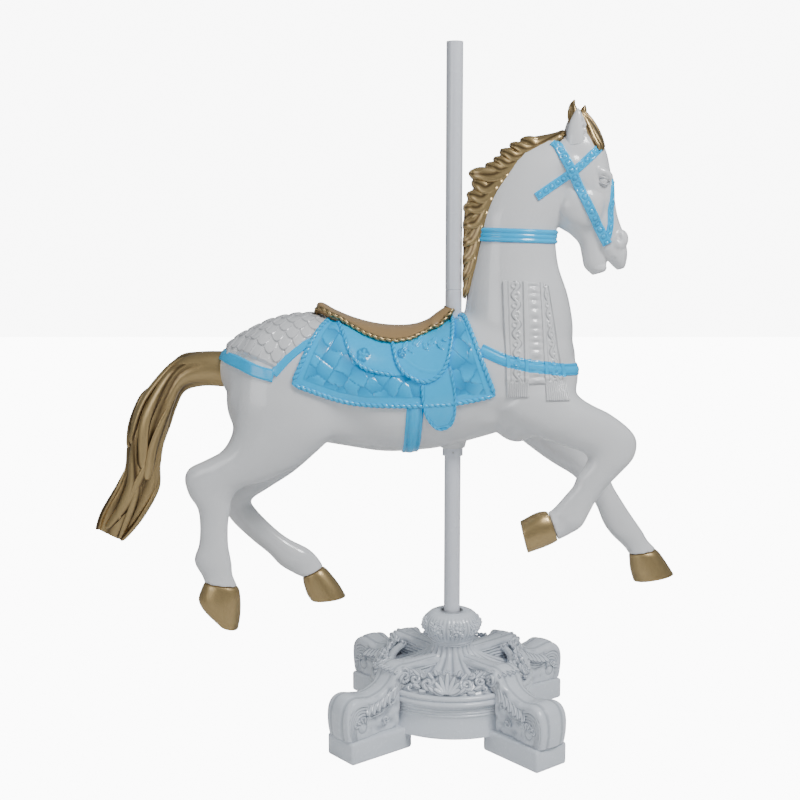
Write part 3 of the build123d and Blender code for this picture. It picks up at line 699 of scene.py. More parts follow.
# ---- Reliefs that lie on the skin -----------------------------------------------------------
class Hide:
    """The outside of the body skin as columns of points, counted from the ridge of the back."""

    def __init__(self, skin):
        tree = BVHTree.FromObject(skin, bpy.context.evaluated_depsgraph_get())
        low, high, step, turns = -0.69, 0.36, 0.006, 72
        self.low, self.step = low, step
        count = int(round((high - low) / step)) + 1
        middles = flow([(f[0], (f[1] + b[1]) / 2) for f, b, _ in TORSO], 8)
        self.points = np.zeros((2, count, turns, 3))
        self.normals = np.zeros((2, count, turns, 3))
        for half, way in enumerate((-1, 1)):
            for i in range(count):
                x = low + i * step
                centre = Vector((x, 0, HORSE_Z + np.interp(x / MM, middles[:, 0], middles[:, 1]) * MM))
                for j in range(turns):
                    turn = math.radians(176) * j / (turns - 1)
                    out = Vector((0, way * math.sin(turn), math.cos(turn)))
                    hit, normal, _, _ = tree.ray_cast(centre + out * 0.6, -out)
                    self.points[half, i, j] = hit if hit else centre
                    self.normals[half, i, j] = normal if hit else out
        for _ in range(3):
            for axis in (1, 2):
                before, after = np.roll(self.normals, 1, axis), np.roll(self.normals, -1, axis)
                inner = [slice(None)] * 4
                inner[axis] = slice(1, -1)
                blend = (before + 2 * self.normals + after) / 4
                self.normals[tuple(inner)] = blend[tuple(inner)]
        self.normals /= np.linalg.norm(self.normals, axis=3)[..., None]
        self.ready = {}

    def column(self, x, way):
        """Distances, points and normals down one side at x metres."""
        key = (round(x, 4), way)
        if key not in self.ready:
            half = 0 if way < 0 else 1
            place_in = np.clip((x - self.low) / self.step, 0, self.points.shape[1] - 1.001)
            i, t = int(place_in), place_in - int(place_in)
            points = self.points[half, i] * (1 - t) + self.points[half, i + 1] * t
            normals = self.normals[half, i] * (1 - t) + self.normals[half, i + 1] * t
            self.ready[key] = (lengths(points), points, normals)
        return self.ready[key]

    def down_to(self, x, z, way):
        """Distance from the ridge at x down to a height z (metres)."""
        far, points, _ = self.column(x, way)
        heights = points[:, 2]
        under = np.nonzero(heights <= z)[0]
        if len(under) == 0:
            return far[-1]
        k = under[0]
        if k == 0:
            return 0.0
        t = (heights[k - 1] - z) / max(heights[k - 1] - heights[k], 1e-9)
        return far[k - 1] + t * (far[k] - far[k - 1])

    def at(self, x, down, way, lift=0.0):
        """The point a distance down from the ridge, lifted off the skin."""
        far, points, normals = self.column(x, way)
        normal = read_at(down, far, normals)
        return read_at(down, far, points) + normal / np.linalg.norm(normal) * lift

    def side_view(self, x, z, way, lift=0.0):
        """The point seen from the side at (x, z) millimetres, lifted off the skin."""
        x, z = x * MM, HORSE_Z + z * MM
        return self.at(x, self.down_to(x, z, way), way, lift)


def along(line, t):
    """A point at fraction t of a polyline's length."""
    line = np.asarray(line, dtype=float)
    far = lengths(line)
    return read_at(t * far[-1], far, line)


def smooth_line(line, steps=8):
    """A smooth line through points."""
    return flow([tuple(p) for p in line], steps)


def grids(rows, columns):
    """Empty grids for a slab: its outer points, its inner points and its marks of painted shade."""
    return np.zeros((rows, columns, 3)), np.zeros((rows, columns, 3)), np.zeros((rows, columns))


def sheet_mesh(name, outer, inner, painted_shade):
    """A closed slab between two grids of points (rows, columns, 3)."""
    rows, columns = outer.shape[:2]
    points = np.concatenate([outer.reshape(-1, 3), inner.reshape(-1, 3)])
    size = rows * columns
    faces = []
    for r in range(rows - 1):
        for c in range(columns - 1):
            a = r * columns + c
            quad = (a, a + 1, a + columns + 1, a + columns)
            faces.append(quad)
            faces.append(tuple(size + k for k in reversed(quad)))
    rim = [c for c in range(columns)] + [r * columns + columns - 1 for r in range(1, rows)]
    rim += [(rows - 1) * columns + c for c in range(columns - 2, -1, -1)]
    rim += [r * columns for r in range(rows - 2, 0, -1)]
    for k, a in enumerate(rim):
        b = rim[(k + 1) % len(rim)]
        faces.append((b, a, size + a, size + b))
    mask = np.concatenate([painted_shade.ravel(), np.zeros(size)])
    return outward(make_object(name, points, faces, mask))


RIDGE = 900           # a top line this high means the ridge of the back
NECK_FOOT = 0.262     # where the ridge of the back meets the neck
PATTERN_TOP = 0.25    # height that flat patterns on the sides count down from


def patch_spot(hide, high, low, v, way):
    """Where a patch's column lies at fraction v, as x and distance down from the ridge."""
    x = (high[0] + (low[0] - high[0]) * v) * MM
    if high[1] < RIDGE - 1:
        start = hide.down_to(high[0] * MM, HORSE_Z + high[1] * MM, way)
        return x, start + (hide.down_to(low[0] * MM, HORSE_Z + low[1] * MM, way) - start) * v
    start = hide.down_to(x, HORSE_Z + NECK_FOOT, way) if x > 0.01 else 0.0
    return x, start + (hide.down_to(x, HORSE_Z + low[1] * MM, way) - start) * v


def side_patch(name, hide, top, bottom, way, relief, columns, rows, sink=-0.004, flat=True):
    """A raised slab on the skin between a top line and a bottom line; flat patterns read heights."""
    wide = abs(bottom[-1][0] - bottom[0][0]) * MM
    outer, inner, painted_shade = grids(rows, columns)
    for c in range(columns):
        u = c / (columns - 1)
        high, low = along(top, u), along(bottom, u)
        fall_length = patch_spot(hide, high, low, 1, way)[1] - patch_spot(hide, high, low, 0, way)[1]
        for r in range(rows):
            v = r / (rows - 1)
            x, down = patch_spot(hide, high, low, v, way)
            edge = min(u * wide, (1 - u) * wide, (1 - v) * abs(fall_length))
            bare = hide.at(x, down, way)
            fall = (HORSE_Z + PATTERN_TOP - bare[2]) if flat else down
            height, dark = relief(x, fall, u, v, edge)
            outer[r, c] = hide.at(x, down, way, height)
            inner[r, c] = hide.at(x, down, way, sink)
            painted_shade[r, c] = dark
    return sheet_mesh(name, outer, inner, painted_shade)


def swept(name, path, radius, lobes=3, pitch=0.02, around=14, depth=0.2, taper=False):
    """A rope along points: a tube with twisted lobes and painted shade in its grooves."""
    path = np.asarray(path, dtype=float)
    tangent = np.gradient(path, axis=0)
    tangent /= np.linalg.norm(tangent, axis=1)[:, None].clip(1e-9)
    up = np.array([0.31, 0.2, 0.93])
    points, painted_shade = [], []
    far = lengths(path)
    side = np.cross(tangent[0], up)
    side /= np.linalg.norm(side)
    for i in range(len(path)):
        side = side - tangent[i] * side.dot(tangent[i])
        side /= np.linalg.norm(side)
        other = np.cross(tangent[i], side)
        end = min(1.0, (0.25 + min(far[i], far[-1] - far[i]) / (3 * radius)) if taper else 1.0)
        for k in range(around):
            turn = 2 * math.pi * k / around
            wave = math.cos(lobes * turn - 2 * math.pi * far[i] / pitch)
            size = radius * end * (1 - depth * (0.5 - 0.5 * wave) ** 1.5)
            points.append(path[i] + size * (math.cos(turn) * side + math.sin(turn) * other))
            # painted shade in the grooves between the lobes
            painted_shade.append(max(0.0, -wave) ** 1.5 * 0.8)
    return outward(make_object(name, points, ring_faces(len(path), around), painted_shade))


def resampled(path, gap):
    """Points along a path, a fixed gap apart."""
    path = np.asarray(path, dtype=float)
    far = lengths(path)
    return read_at(np.linspace(0, far[-1], max(3, int(far[-1] / gap))), far, path)


def rope(name, path, radius):
    """A two-strand rope along points, tapered at its ends."""
    return swept(name, resampled(path, 0.0022), radius, lobes=2, pitch=0.016, around=12, depth=0.22,
                 taper=True)


def rope_edge(name, hide, line, way, lift, radius=None):
    """A rope laid on the skin along a side-view line."""
    path = [hide.side_view(x, z, way, lift) for x, z in smooth_line(line)]
    return rope(name, path, radius or sizes().rope_radius)


def struck(tree, start, aim, near, reach=10.0):
    """Where a ray meets a skin, and the normal there; the place nearest to near if it misses."""
    hit, normal, _, _ = tree.ray_cast(start, aim, reach)
    if hit is None:
        hit, normal, _, _ = tree.find_nearest(near)
    return hit, normal


def ribbon(name, tree, path, width, profile, rows_gap=0.004, columns=13, sink=-0.003, reach=0.12):
    """A strap laid on a skin: path is points and outward directions, profile gives height and painted
    shade.
    """
    centre = np.asarray([p for p, _ in path], dtype=float)
    away = np.asarray([a for _, a in path], dtype=float)
    far = lengths(centre)
    count = max(4, int(far[-1] / rows_gap))
    steps = np.linspace(0, far[-1], count)
    centre, away = read_at(steps, far, centre), read_at(steps, far, away)
    tangent = np.gradient(centre, axis=0)
    outer, inner, painted_shade = grids(count, columns)
    for i in range(count):
        across = np.cross(tangent[i], away[i])
        across /= np.linalg.norm(across)
        for c in range(columns):
            t = -1 + 2 * c / (columns - 1)
            start = Vector(centre[i] + across * t * width / 2)
            out = Vector(away[i]).normalized()
            hit, normal = struck(tree, start + out * reach, -out, start, 0.3)
            normal = (normal + out).normalized()
            height, dark = profile(steps[i], t)
            outer[i, c] = hit + normal * height
            inner[i, c] = hit + normal * sink
            painted_shade[i, c] = dark
    for _ in range(2):
        outer[1:-1] = (outer[:-2] + 2 * outer[1:-1] + outer[2:]) / 4
    return sheet_mesh(name, outer, inner, painted_shade)


def soft_step(value, low, high):
    """0 below low, 1 above high, smooth between."""
    t = min(1.0, max(0.0, (value - low) / (high - low)))
    return t * t * (3 - 2 * t)


def quilting(x, down):
    """Crazy quilting: 1 on the tilted facets, 0 in the stitched lines between them."""
    pitch = sizes().quilt_pitch
    a, b = (x * 0.80 + down * 0.6) / pitch, (x * 0.6 - down * 0.80) / (pitch * 0.86)
    near = []
    for i in range(math.floor(a) - 1, math.floor(a) + 2):
        for j in range(math.floor(b) - 1, math.floor(b) + 2):
            jitter = math.sin(i * 12.99 + j * 78.23) * 43758.5
            jitter -= math.floor(jitter)
            da = i + 0.5 + 0.55 * (jitter - 0.5) - a
            db = j + 0.5 + 0.55 * ((jitter * 7.31) % 1 - 0.5) - b
            near.append((abs(da) + abs(db) + 0.35 * math.hypot(da, db), da, db, jitter))
    near.sort()
    far, da, db, jitter = near[0]
    line = (near[1][0] - far) * pitch * 0.5
    slope = 2 * math.pi * ((jitter * 3.77) % 1)
    tilt = da * math.cos(slope) + db * math.sin(slope)
    return soft_step(line, 0.0003, 0.0030) * (0.7 + 0.85 * tilt)


# Tack seen from the side, in millimetres
BLANKET_TOP = [(-338, RIDGE), (-250, RIDGE), (-150, RIDGE), (-60, RIDGE), (16, RIDGE)]
BLANKET_FOOT = [(-458, 62), (-333, 18), (-252, 4), (-156, 0), (-105, 0), (-1, 6), (112, 28)]
SKIRT_LINE = [(-346, 246), (-321, 198), (-299, 148), (-268, 111), (-226, 94), (-167, 83)]
FLAP_LINE = [(-178, 176), (-174, 146), (-160, 108), (-136, 84), (-94, 67), (-58, 75), (-30, 103),
             (-12, 150), (0, 210), (3, 268)]
FENDER_LINE = [(-96, 66), (-92, 20), (-82, -28), (-52, -64), (-18, -58), (-3, -25), (-3, 40),
               (-14, 110)]
SEAT_LINE = [(-379, 257), (-342, 236), (-299, 210), (-256, 188), (-213, 172), (-170, 166),
             (-127, 171), (-84, 187), (-47, 214), (-24, 242), (-2, 264)]
BREAST_LINE = [(72, 158), (110, 140), (148, 125), (205, 112), (260, 105), (310, 97)]
CHEST_FRONT = 0.356     # how far forward the breast strap reaches, in metres
CRUPPER_WIDE = [(-672, 134), (-612, 116), (-560, 96), (-512, 84), (-478, 110), (-452, 132)]


class CAROUSEL_OT_blanket(bpy.types.Operator):
    """Quilted saddle blanket with its rope binding"""

    bl_idname = "carousel.blanket"
    bl_label = "Saddle Blanket"

    def execute(self, context):
        hide = the_hide()

        def relief(x, down, u, v, edge):
            border = soft_step(edge, 0.020, 0.027)
            pad = quilting(x, down)
            height = 0.0056 + 0.0010 * (1 - border) + border * (0.0030 * pad - 0.0010)
            # painted shade on the lower facets and in the stitched lines, and along the step inside the
            # border
            line = 1 - soft_step(abs(edge - 0.023), 0.0005, 0.003)
            return height, max(0.75 * border * (1 - pad), 0.5 * line)

        halves = [side_patch(f"blanket_{way}", hide, BLANKET_TOP, BLANKET_FOOT, way, relief, 220, 96)
                  for way in (-1, 1)]
        blanket = joined("quilted_blanket", halves)
        finish_piece(blanket, "horse", "blanket_blue", coat_of("blue"), "saddle_blanket")
        ropes = []
        lift, radius = 0.0045, 0.0078
        for way in (-1, 1):
            ropes.append(rope_edge(f"binding_{way}", hide, BLANKET_FOOT, way, lift, radius))
            for k in (0, -1):
                edge = [patch_spot(hide, BLANKET_TOP[k], BLANKET_FOOT[k], v, way)
                        for v in np.linspace(0.01, 1, 40)]
                path = [hide.at(x, down, way, lift) for x, down in edge]
                ropes.append(rope(f"binding_{way}_{k}", path, radius))
        finish_piece(joined("blanket_binding", ropes), "horse", "blanket_blue", coat_of("blue"))
        return {"FINISHED"}


def leaf(x, down, cx, cz, length, turn):
    """Height fraction of one carved leaf."""
    dx, dz = x - cx, down - cz
    a = dx * math.cos(turn) + dz * math.sin(turn)
    b = -dx * math.sin(turn) + dz * math.cos(turn)
    t = a / length
    if t < 0 or t > 1:
        return 0.0
    width = 0.32 * length * math.sin(math.pi * t ** 0.8)
    if width <= 0 or abs(b) > width:
        return 0.0
    return (1 - (b / width) ** 2) ** 0.5 * (0.55 + 0.45 * min(1, abs(b) / width * 3))


def flower(x, down, cx, cz, radius):
    """Height fraction of a small carved rosette."""
    dx, dz = x - cx, down - cz
    far = math.hypot(dx, dz) / radius
    if far > 1:
        return 0.0
    petals = 0.5 + 0.5 * math.cos(5 * math.atan2(dz, dx))
    return max(0.95 - 3 * far, 0) + max(0.0, (1 - far) * (0.35 + 0.9 * petals))


class CAROUSEL_OT_skirts(bpy.types.Operator):
    """Saddle skirts, flaps and fenders with rope edges and carved leaves"""

    bl_idname = "carousel.skirts"
    bl_label = "Skirts and Flaps"

    def execute(self, context):
        hide = the_hide()
        for side, way in SIDES:
            def skirt_relief(x, down, u, v, edge):
                bloom = flower(x, down, -0.262, 0.112, 0.02)
                # painted shade round the edge of the carved flower
                return 0.0092 + 0.0052 * bloom, 0.7 * (0.05 < bloom < 0.35)

            top = [(-346, 250), (-300, 236), (-250, 205), (-200, 190), (-150, 186)]
            skirt = side_patch(f"skirt_{side}", hide, top, SKIRT_LINE + [(-140, 84)], way,
                               skirt_relief, 110, 64)
            rope = rope_edge(f"skirt_rope_{side}", hide, SKIRT_LINE, way, 0.0088)
            piece = joined(f"saddle_skirt_panel_{side}", [skirt, rope])
            finish_piece(piece, "horse", "skirt_blue", coat_of("blue"), f"saddle_skirt_{side}")

            vine = [(-0.148 + 0.0145 * k, 0.103 - 0.006 * math.sin(k * 0.75) - 0.0035 * k)
                    for k in range(9)]

            def flap_relief(x, down, u, v, edge):
                carve = 0.0
                for k, (cx, cz) in enumerate(vine):
                    if abs(x - cx) < 0.03 and abs(down - cz) < 0.03:
                        carve = max(carve, leaf(x, down, cx, cz, 0.023, (-0.95, 0.8, -0.3)[k % 3]))
                carve = max(carve, flower(x, down, -0.152, 0.112, 0.013))
                crease = math.exp(-((x + 0.075) ** 2 * 300 + (down - 0.157 + (x + 0.07) ** 2 * 6) ** 2
                                    * 60000))
                # painted shade on the low edges of the carved leaves and flower
                return 0.0125 + 0.0056 * carve + 0.0018 * crease, 0.8 * (0.02 < carve < 0.4)

            top = [(-178, 174), (-140, 176), (-100, 186), (-60, 208), (-25, 243), (3, 275)]
            flap = side_patch(f"flap_{side}", hide, top, FLAP_LINE[1:], way, flap_relief, 150, 96)

            def fender_relief(x, down, u, v, edge):
                rim = min(min(u, 1 - u) * 0.088, (1 - v) * 0.17)
                pan = soft_step(rim, 0.006, 0.011)
                line = 1 - soft_step(abs(rim - 0.008), 0.0004, 0.003)
                # painted shade along the step round the sunken middle
                return 0.0118 - 0.0024 * pan, 0.6 * line

            top = [(-94, 78), (-50, 92), (-12, 110)]
            fender = side_patch(f"fender_{side}", hide, top, FENDER_LINE[1:-1], way, fender_relief,
                                64, 60)
            ropes = [rope_edge(f"flap_rope_{side}", hide, FLAP_LINE, way, 0.0128),
                     rope_edge(f"fender_rope_{side}", hide, FENDER_LINE, way, 0.0105, 0.0038)]
            piece = joined(f"saddle_flap_panel_{side}", [flap, fender, *ropes])
            finish_piece(piece, "horse", "skirt_blue", coat_of("blue"), f"saddle_flap_{side}")
        return {"FINISHED"}


SEAT_LIFT = 0.0165      # how far the seat's edge stands off the skin
# Saddle seat: x, height of its ridge, half width of its top, depth of the dished middle
SEAT_RIBS = [
    (-400, 272, 12, 0), (-398, 279, 26, 0), (-390, 284, 40, 0), (-376, 281, 54, 1), (-345, 264, 66, 3),
    (-300, 246, 74, 5), (-250, 232, 78, 7), (-200, 224, 78, 8), (-150, 222, 75, 8),
    (-110, 226, 70, 7), (-75, 238, 62, 5), (-48, 257, 54, 3), (-28, 269, 46, 1), (-10, 274, 40, 0),
    (-4, 270, 34, 0),
]


class CAROUSEL_OT_seat(bpy.types.Operator):
    """Bronze saddle seat with its rope edge"""

    bl_idname = "carousel.seat"
    bl_label = "Saddle Seat"

    def execute(self, context):
        hide = the_hide()
        ribs = flow(SEAT_RIBS, 7)
        across = 49
        outer = np.zeros((len(ribs), across, 3))
        inner = np.zeros((len(ribs), across, 3))
        for i, (x, ridge, half, dish) in enumerate(ribs):
            low_z = float(np.interp(x, [p[0] for p in SEAT_LINE], [p[1] for p in SEAT_LINE]))
            seated = soft_step(x, -360, -318) * (1 - soft_step(x, -62, -34))
            rest = hide.side_view(max(x, -345), min(low_z, ridge - 8), -1, SEAT_LIFT)
            reach = max(abs(rest[1]), half * MM) * seated + half * MM * (1 - seated)
            own = low_z if x > -100 else ridge - 15
            low = rest[2] * seated + (HORSE_Z + own * MM) * (1 - seated)
            _, skin, _ = hide.column(x * MM, -1)
            for c in range(across):
                t = -1 + 2 * c / (across - 1)
                y = reach * abs(t) ** 0.92
                fall = abs(t) ** 2.5
                z = (HORSE_Z + (ridge - dish * (1 - t * t) * 0.5) * MM) * (1 - fall) + low * fall
                cover = np.interp(y, np.abs(skin[:36, 1]), skin[:36, 2]) + SEAT_LIFT * 1.05
                z = max(z, cover * seated)
                outer[i, c] = (x * MM, math.copysign(y, t), z)
                inner[i, c] = (x * MM, math.copysign(y * 0.93, t), z - 0.016)
        # painted shade, darkest along the middle of the seat and fading out to its edges
        painted_shade = np.tile(0.35 * (1 - np.abs(np.linspace(-1, 1, across))), (len(ribs), 1))
        seat = sheet_mesh("saddle_seat_top", outer, inner, painted_shade)
        rim = np.concatenate([outer[:, 0], outer[::-1, -1]])
        rim[:, 1] *= 1.03
        edge = swept("seat_rope", resampled(np.vstack([rim, rim[:1]]), 0.0024), 0.0072, lobes=2,
                     pitch=0.019, around=12, depth=0.36)
        leather = len(seat.data.polygons)
        piece = joined("carved_saddle_seat", [seat, edge])
        points, _ = mesh_arrays(piece)
        clear = POLE_R + 0.004
        near = (np.abs(points[:, 1]) < clear) & (points[:, 0] > -clear)
        points[near, 0] = np.minimum(points[near, 0], -np.sqrt(clear ** 2 - points[near, 1] ** 2))
        set_points(piece, points)
        finish_piece(piece, "horse", "saddle_bronze", coat_of("bronze"), "saddle_seat")
        piece.data.materials.append(coat_of("gold"))
        for face in piece.data.polygons[leather:]:
            face.material_index = 1
        return {"FINISHED"}


def strap_profile(height, ribs=0, loops=0.0):
    """A strap's cross-section: rounded edges, raised ribs or embossed loops along it."""
    def profile(far, t):
        edge = soft_step(1 - abs(t), 0.0, 0.16)
        lift = height * (0.35 + 0.65 * edge)
        dark = 0.0
        if ribs:
            wave = math.cos(math.pi * ribs * t)
            lift += 0.0011 * wave
            # painted shade in the troughs between the ribs
            dark = 0.5 * max(0.0, -wave) ** 3
        if loops:
            spot = math.hypot(t * 0.6, (far / loops) % 1 - 0.5)
            bead = 1 - soft_step(spot, 0.06, 0.30)
            ring = 1 - soft_step(abs(spot - 0.34), 0.03, 0.12)
            lift += (0.0026 * bead - 0.0009 * ring) * edge
            # painted shade in the sunk ring round each bead
            dark = 0.5 * ring * edge
        return lift, dark
    return profile


def path_on(hide, line, way):
    """Side-view line as points and outward directions on the body."""
    path = []
    for x, z in smooth_line(line, 6):
        point = hide.side_view(x, z, way)
        path.append((point, (hide.side_view(x, z, way, 0.01) - point) * 100))
    return path


class CAROUSEL_OT_straps(bpy.types.Operator):
    """Girth, breast strap, crupper and neck band"""

    bl_idname = "carousel.straps"
    bl_label = "Body Straps"

    def execute(self, context):
        hide, tree = the_hide(), the_tree()
        height = sizes().strap_height
        girths = []
        for way in (-1, 1):
            far, _, _ = hide.column(-0.118, way)
            start = hide.down_to(-0.112, HORSE_Z + 0.012, way)
            path = []
            for down in np.linspace(start, far[-1], 40):
                x = -0.112 - 0.016 * (down - start) / (far[-1] - start)
                point = hide.at(x, down, way)
                path.append((point, (hide.at(x, down, way, 0.01) - point) * 100))
            girths.append(ribbon(f"girth_{way}", tree, path, 0.048, strap_profile(height, 1.6)))
        finish_piece(joined("girth", girths), "horse", "strap_blue", coat_of("blue"), "girth_strap")

        near = path_on(hide, BREAST_LINE, -1)
        end = near[-1][0]
        for turn in np.linspace(0.12, 1.0, 14):
            angle = turn * math.pi / 2
            point = np.array([end[0] + (CHEST_FRONT - end[0]) * math.sin(angle),
                              end[1] * math.cos(angle), end[2] - 0.003 * turn])
            aim = np.array([math.sin(angle) + 0.15, -math.cos(angle), 0.0])
            near.append((point, aim / np.linalg.norm(aim)))
        far_side = [(p * [1, -1, 1], a * [1, -1, 1]) for p, a in near[:-1]][::-1]
        strap = ribbon("breast_band", tree, near + far_side, 0.034, strap_profile(0.0042, 1.5))
        finish_piece(strap, "horse", "strap_blue", coat_of("blue"), "breast_strap")

        limbs = []
        narrow = [(-512, 90), (-474, 132), (-436, 163), (-398, 182)]
        for way in (-1, 1):
            limbs.append(ribbon(f"crupper_{way}", tree, path_on(hide, CRUPPER_WIDE[:4], way), 0.036,
                                strap_profile(height, 0)))
            limbs.append(ribbon(f"crupper_rise_{way}", tree, path_on(hide, narrow, way), 0.026,
                                strap_profile(height * 0.8, 0)))
        finish_piece(joined("crupper", limbs), "horse", "strap_blue", coat_of("blue"), "crupper_strap")

        ring = []
        middle = np.array(place(181.5, BAND_MIDDLE))
        for angle in np.linspace(0, 2 * math.pi, 73):
            out = np.array([math.cos(angle), math.sin(angle) * 0.8, 0.0])
            point = middle + out * [0.116, 0.098, 0] - [0, 0, 0.004 * math.cos(angle)]
            ring.append((point, out / np.linalg.norm(out)))
        band = ribbon("collar_band", tree, ring, 0.040, strap_profile(0.0058, 3), columns=19,
                      reach=0.02)
        finish_piece(band, "horse", "strap_blue", coat_of("blue"), "neck_band")
        return {"FINISHED"}


# Bridle straps on the sides: name, line seen from the side, width, height and bead gap in metres
SIDE_STRAPS = (
    ("cheek", [(230, 584), (270, 612), (340, 660), (402, 716)], 0.025, 0.0045, 0.021),
    ("brow", [(284, 742), (330, 656), (385, 548), (440, 452)], 0.028, 0.0062, 0.022),
)
# Straps over the front: name, middle and right half as (x, z, y, outward), width and bead gap
FRONT_STRAPS = (
    ("nose_strap", (464, 640, 0, (1, 0, 0.4)),
     [(440, 470, -34, (0.3, -1, 0)), (455, 560, -40, (0.7, -0.8, 0.2)),
      (462, 618, -26, (1, -0.45, 0.3))], 0.018, 0.02),
    ("brow_front", (432, 748, 0, (1, 0, 0.8)),
     [(402, 716, -50, (0.4, -1, 0.4)), (428, 742, -22, (0.9, -0.4, 0.7))], 0.025, 0.021),
)


class CAROUSEL_OT_bridle(bpy.types.Operator):
    """Bridle straps with embossed loops"""

    bl_idname = "carousel.bridle"
    bl_label = "Bridle"

    def execute(self, context):
        tree = BVHTree.FromObject(bpy.data.objects["horse_head_skin"],
                                  context.evaluated_depsgraph_get())

        def cast(line, way):
            path = []
            for x, z in smooth_line(line, 8):
                hit, normal = struck(tree, place(x, z, way * 200), Vector((0, -way, 0)),
                                     place(x, z, way * 40))
                path.append((np.array(hit), np.array(normal)))
            return path

        straps = []
        for way in (-1, 1):
            for name, line, width, height, loops in SIDE_STRAPS:
                straps.append(ribbon(f"{name}_{way}", tree, cast(line, way), width,
                                     strap_profile(height, 0, loops), 0.0016, 21))
        for name, middle, half, width, loops in FRONT_STRAPS:
            far_half = [(x, z, -y, (a, -b, c)) for x, z, y, (a, b, c) in reversed(half)]
            path = [(np.array(place(x, z, y)), np.array(Vector(out).normalized()))
                    for x, z, y, out in (*half, middle, *far_half)]
            straps.append(ribbon(name, tree, path, width, strap_profile(0.0045, 0, loops), 0.0018, 17))
        finish_piece(joined("bridle", straps), "horse", "strap_blue", coat_of("blue"), "bridle_straps")
        return {"FINISHED"}


_made = {}


def the_hide():
    """The map of the body skin, made once."""
    if "hide" not in _made:
        _made["hide"] = Hide(bpy.data.objects["horse_body_skin"])
    return _made["hide"]


def the_tree():
    """The body and head skins as one surface to lay straps on."""
    if "tree" not in _made:
        points, faces = [], []
        for name in ("horse_body_skin", "horse_head_skin"):
            mesh = bpy.data.objects[name].data
            start = len(points)
            points += [tuple(v.co) for v in mesh.vertices]
            faces += [tuple(start + k for k in p.vertices) for p in mesh.polygons]
        _made["tree"] = BVHTree.FromPolygons(points, faces)
    return _made["tree"]


# ---- Carved hair ----------------------------------------------------------------------------
def lock(name, path, out, widths, depth, ridges=3, roll=0.0, around=28, steps=6):
    """One carved lock: a flattened tapering tube with ridges along it, rounded at its tip."""
    rows = flow([(*p, *o, w) for p, o, w in zip(path, out, widths)], steps)
    centre, away, wide = rows[:, :3], rows[:, 3:6], rows[:, 6]
    tangent = np.gradient(centre, axis=0)
    tangent /= np.linalg.norm(tangent, axis=1)[:, None]
    far = lengths(centre)
    points, painted_shade = [], []
    for i in range(len(rows)):
        side = np.cross(tangent[i], away[i])
        side /= np.linalg.norm(side)
        up = np.cross(side, tangent[i])
        thick = depth * min(1.0, 0.35 + wide[i] / wide.max())
        for k in range(around):
            turn = 2 * math.pi * k / around
            wave = math.cos(ridges * turn * 2 + roll * far[i])
            size = 1 - 0.15 * (0.5 - 0.5 * wave) ** 1.4
            points.append(centre[i] + side * wide[i] * size * math.cos(turn)
                          + up * thick * size * math.sin(turn))
            # painted shade in the troughs between the ridges and along the lock's sides, where locks
            # overlap
            painted_shade.append(0.85 * max(0.0, -wave) ** 1.6 + 0.25 * abs(math.cos(turn)) ** 6)
    return outward(make_object(name, points, ring_faces(len(rows), around), painted_shade))


# The crest line, where white neck meets hair, and the outline of the mane, poll to withers
CREST = [(316, 764), (265, 728), (222, 706), (186, 678), (144, 642), (113, 606), (93, 549),
         (76, 498), (70, 461), (54, 379), (35, 292)]
CREST_SIDE = [24, 30, 34, 37, 38, 37, 34, 32, 31, 26, 12]
MANE_RIM = [(318, 776), (262, 764), (222, 757), (196, 746), (166, 731), (138, 713), (116, 690),
            (96, 672), (66, 645), (60, 620), (44, 594), (30, 556), (27.5, 505), (27, 452), (27, 400),
            (27, 345), (30, 298)]
MANE_WAVES = 24         # waves along the mane's core
MANE_CLEAR = 0.0022     # gap kept between the mane and the pole
MANE_TIPS = [
    # tip x, tip z, how far back along the crest its root lies (0 poll to 1 withers), width
    (196, 747, 0.02, 15), (166, 734, 0.06, 13), (138, 716, 0.13, 13), (120, 694, 0.18, 12),
    (96, 676, 0.22, 13), (50, 655, 0.24, 17), (58, 628, 0.34, 15), (44, 594, 0.38, 15),
    (33, 556, 0.42, 15), (29, 505, 0.48, 15), (28, 452, 0.55, 14), (28, 400, 0.62, 13),
    (29, 350, 0.69, 12), (31, 302, 0.78, 9),
]


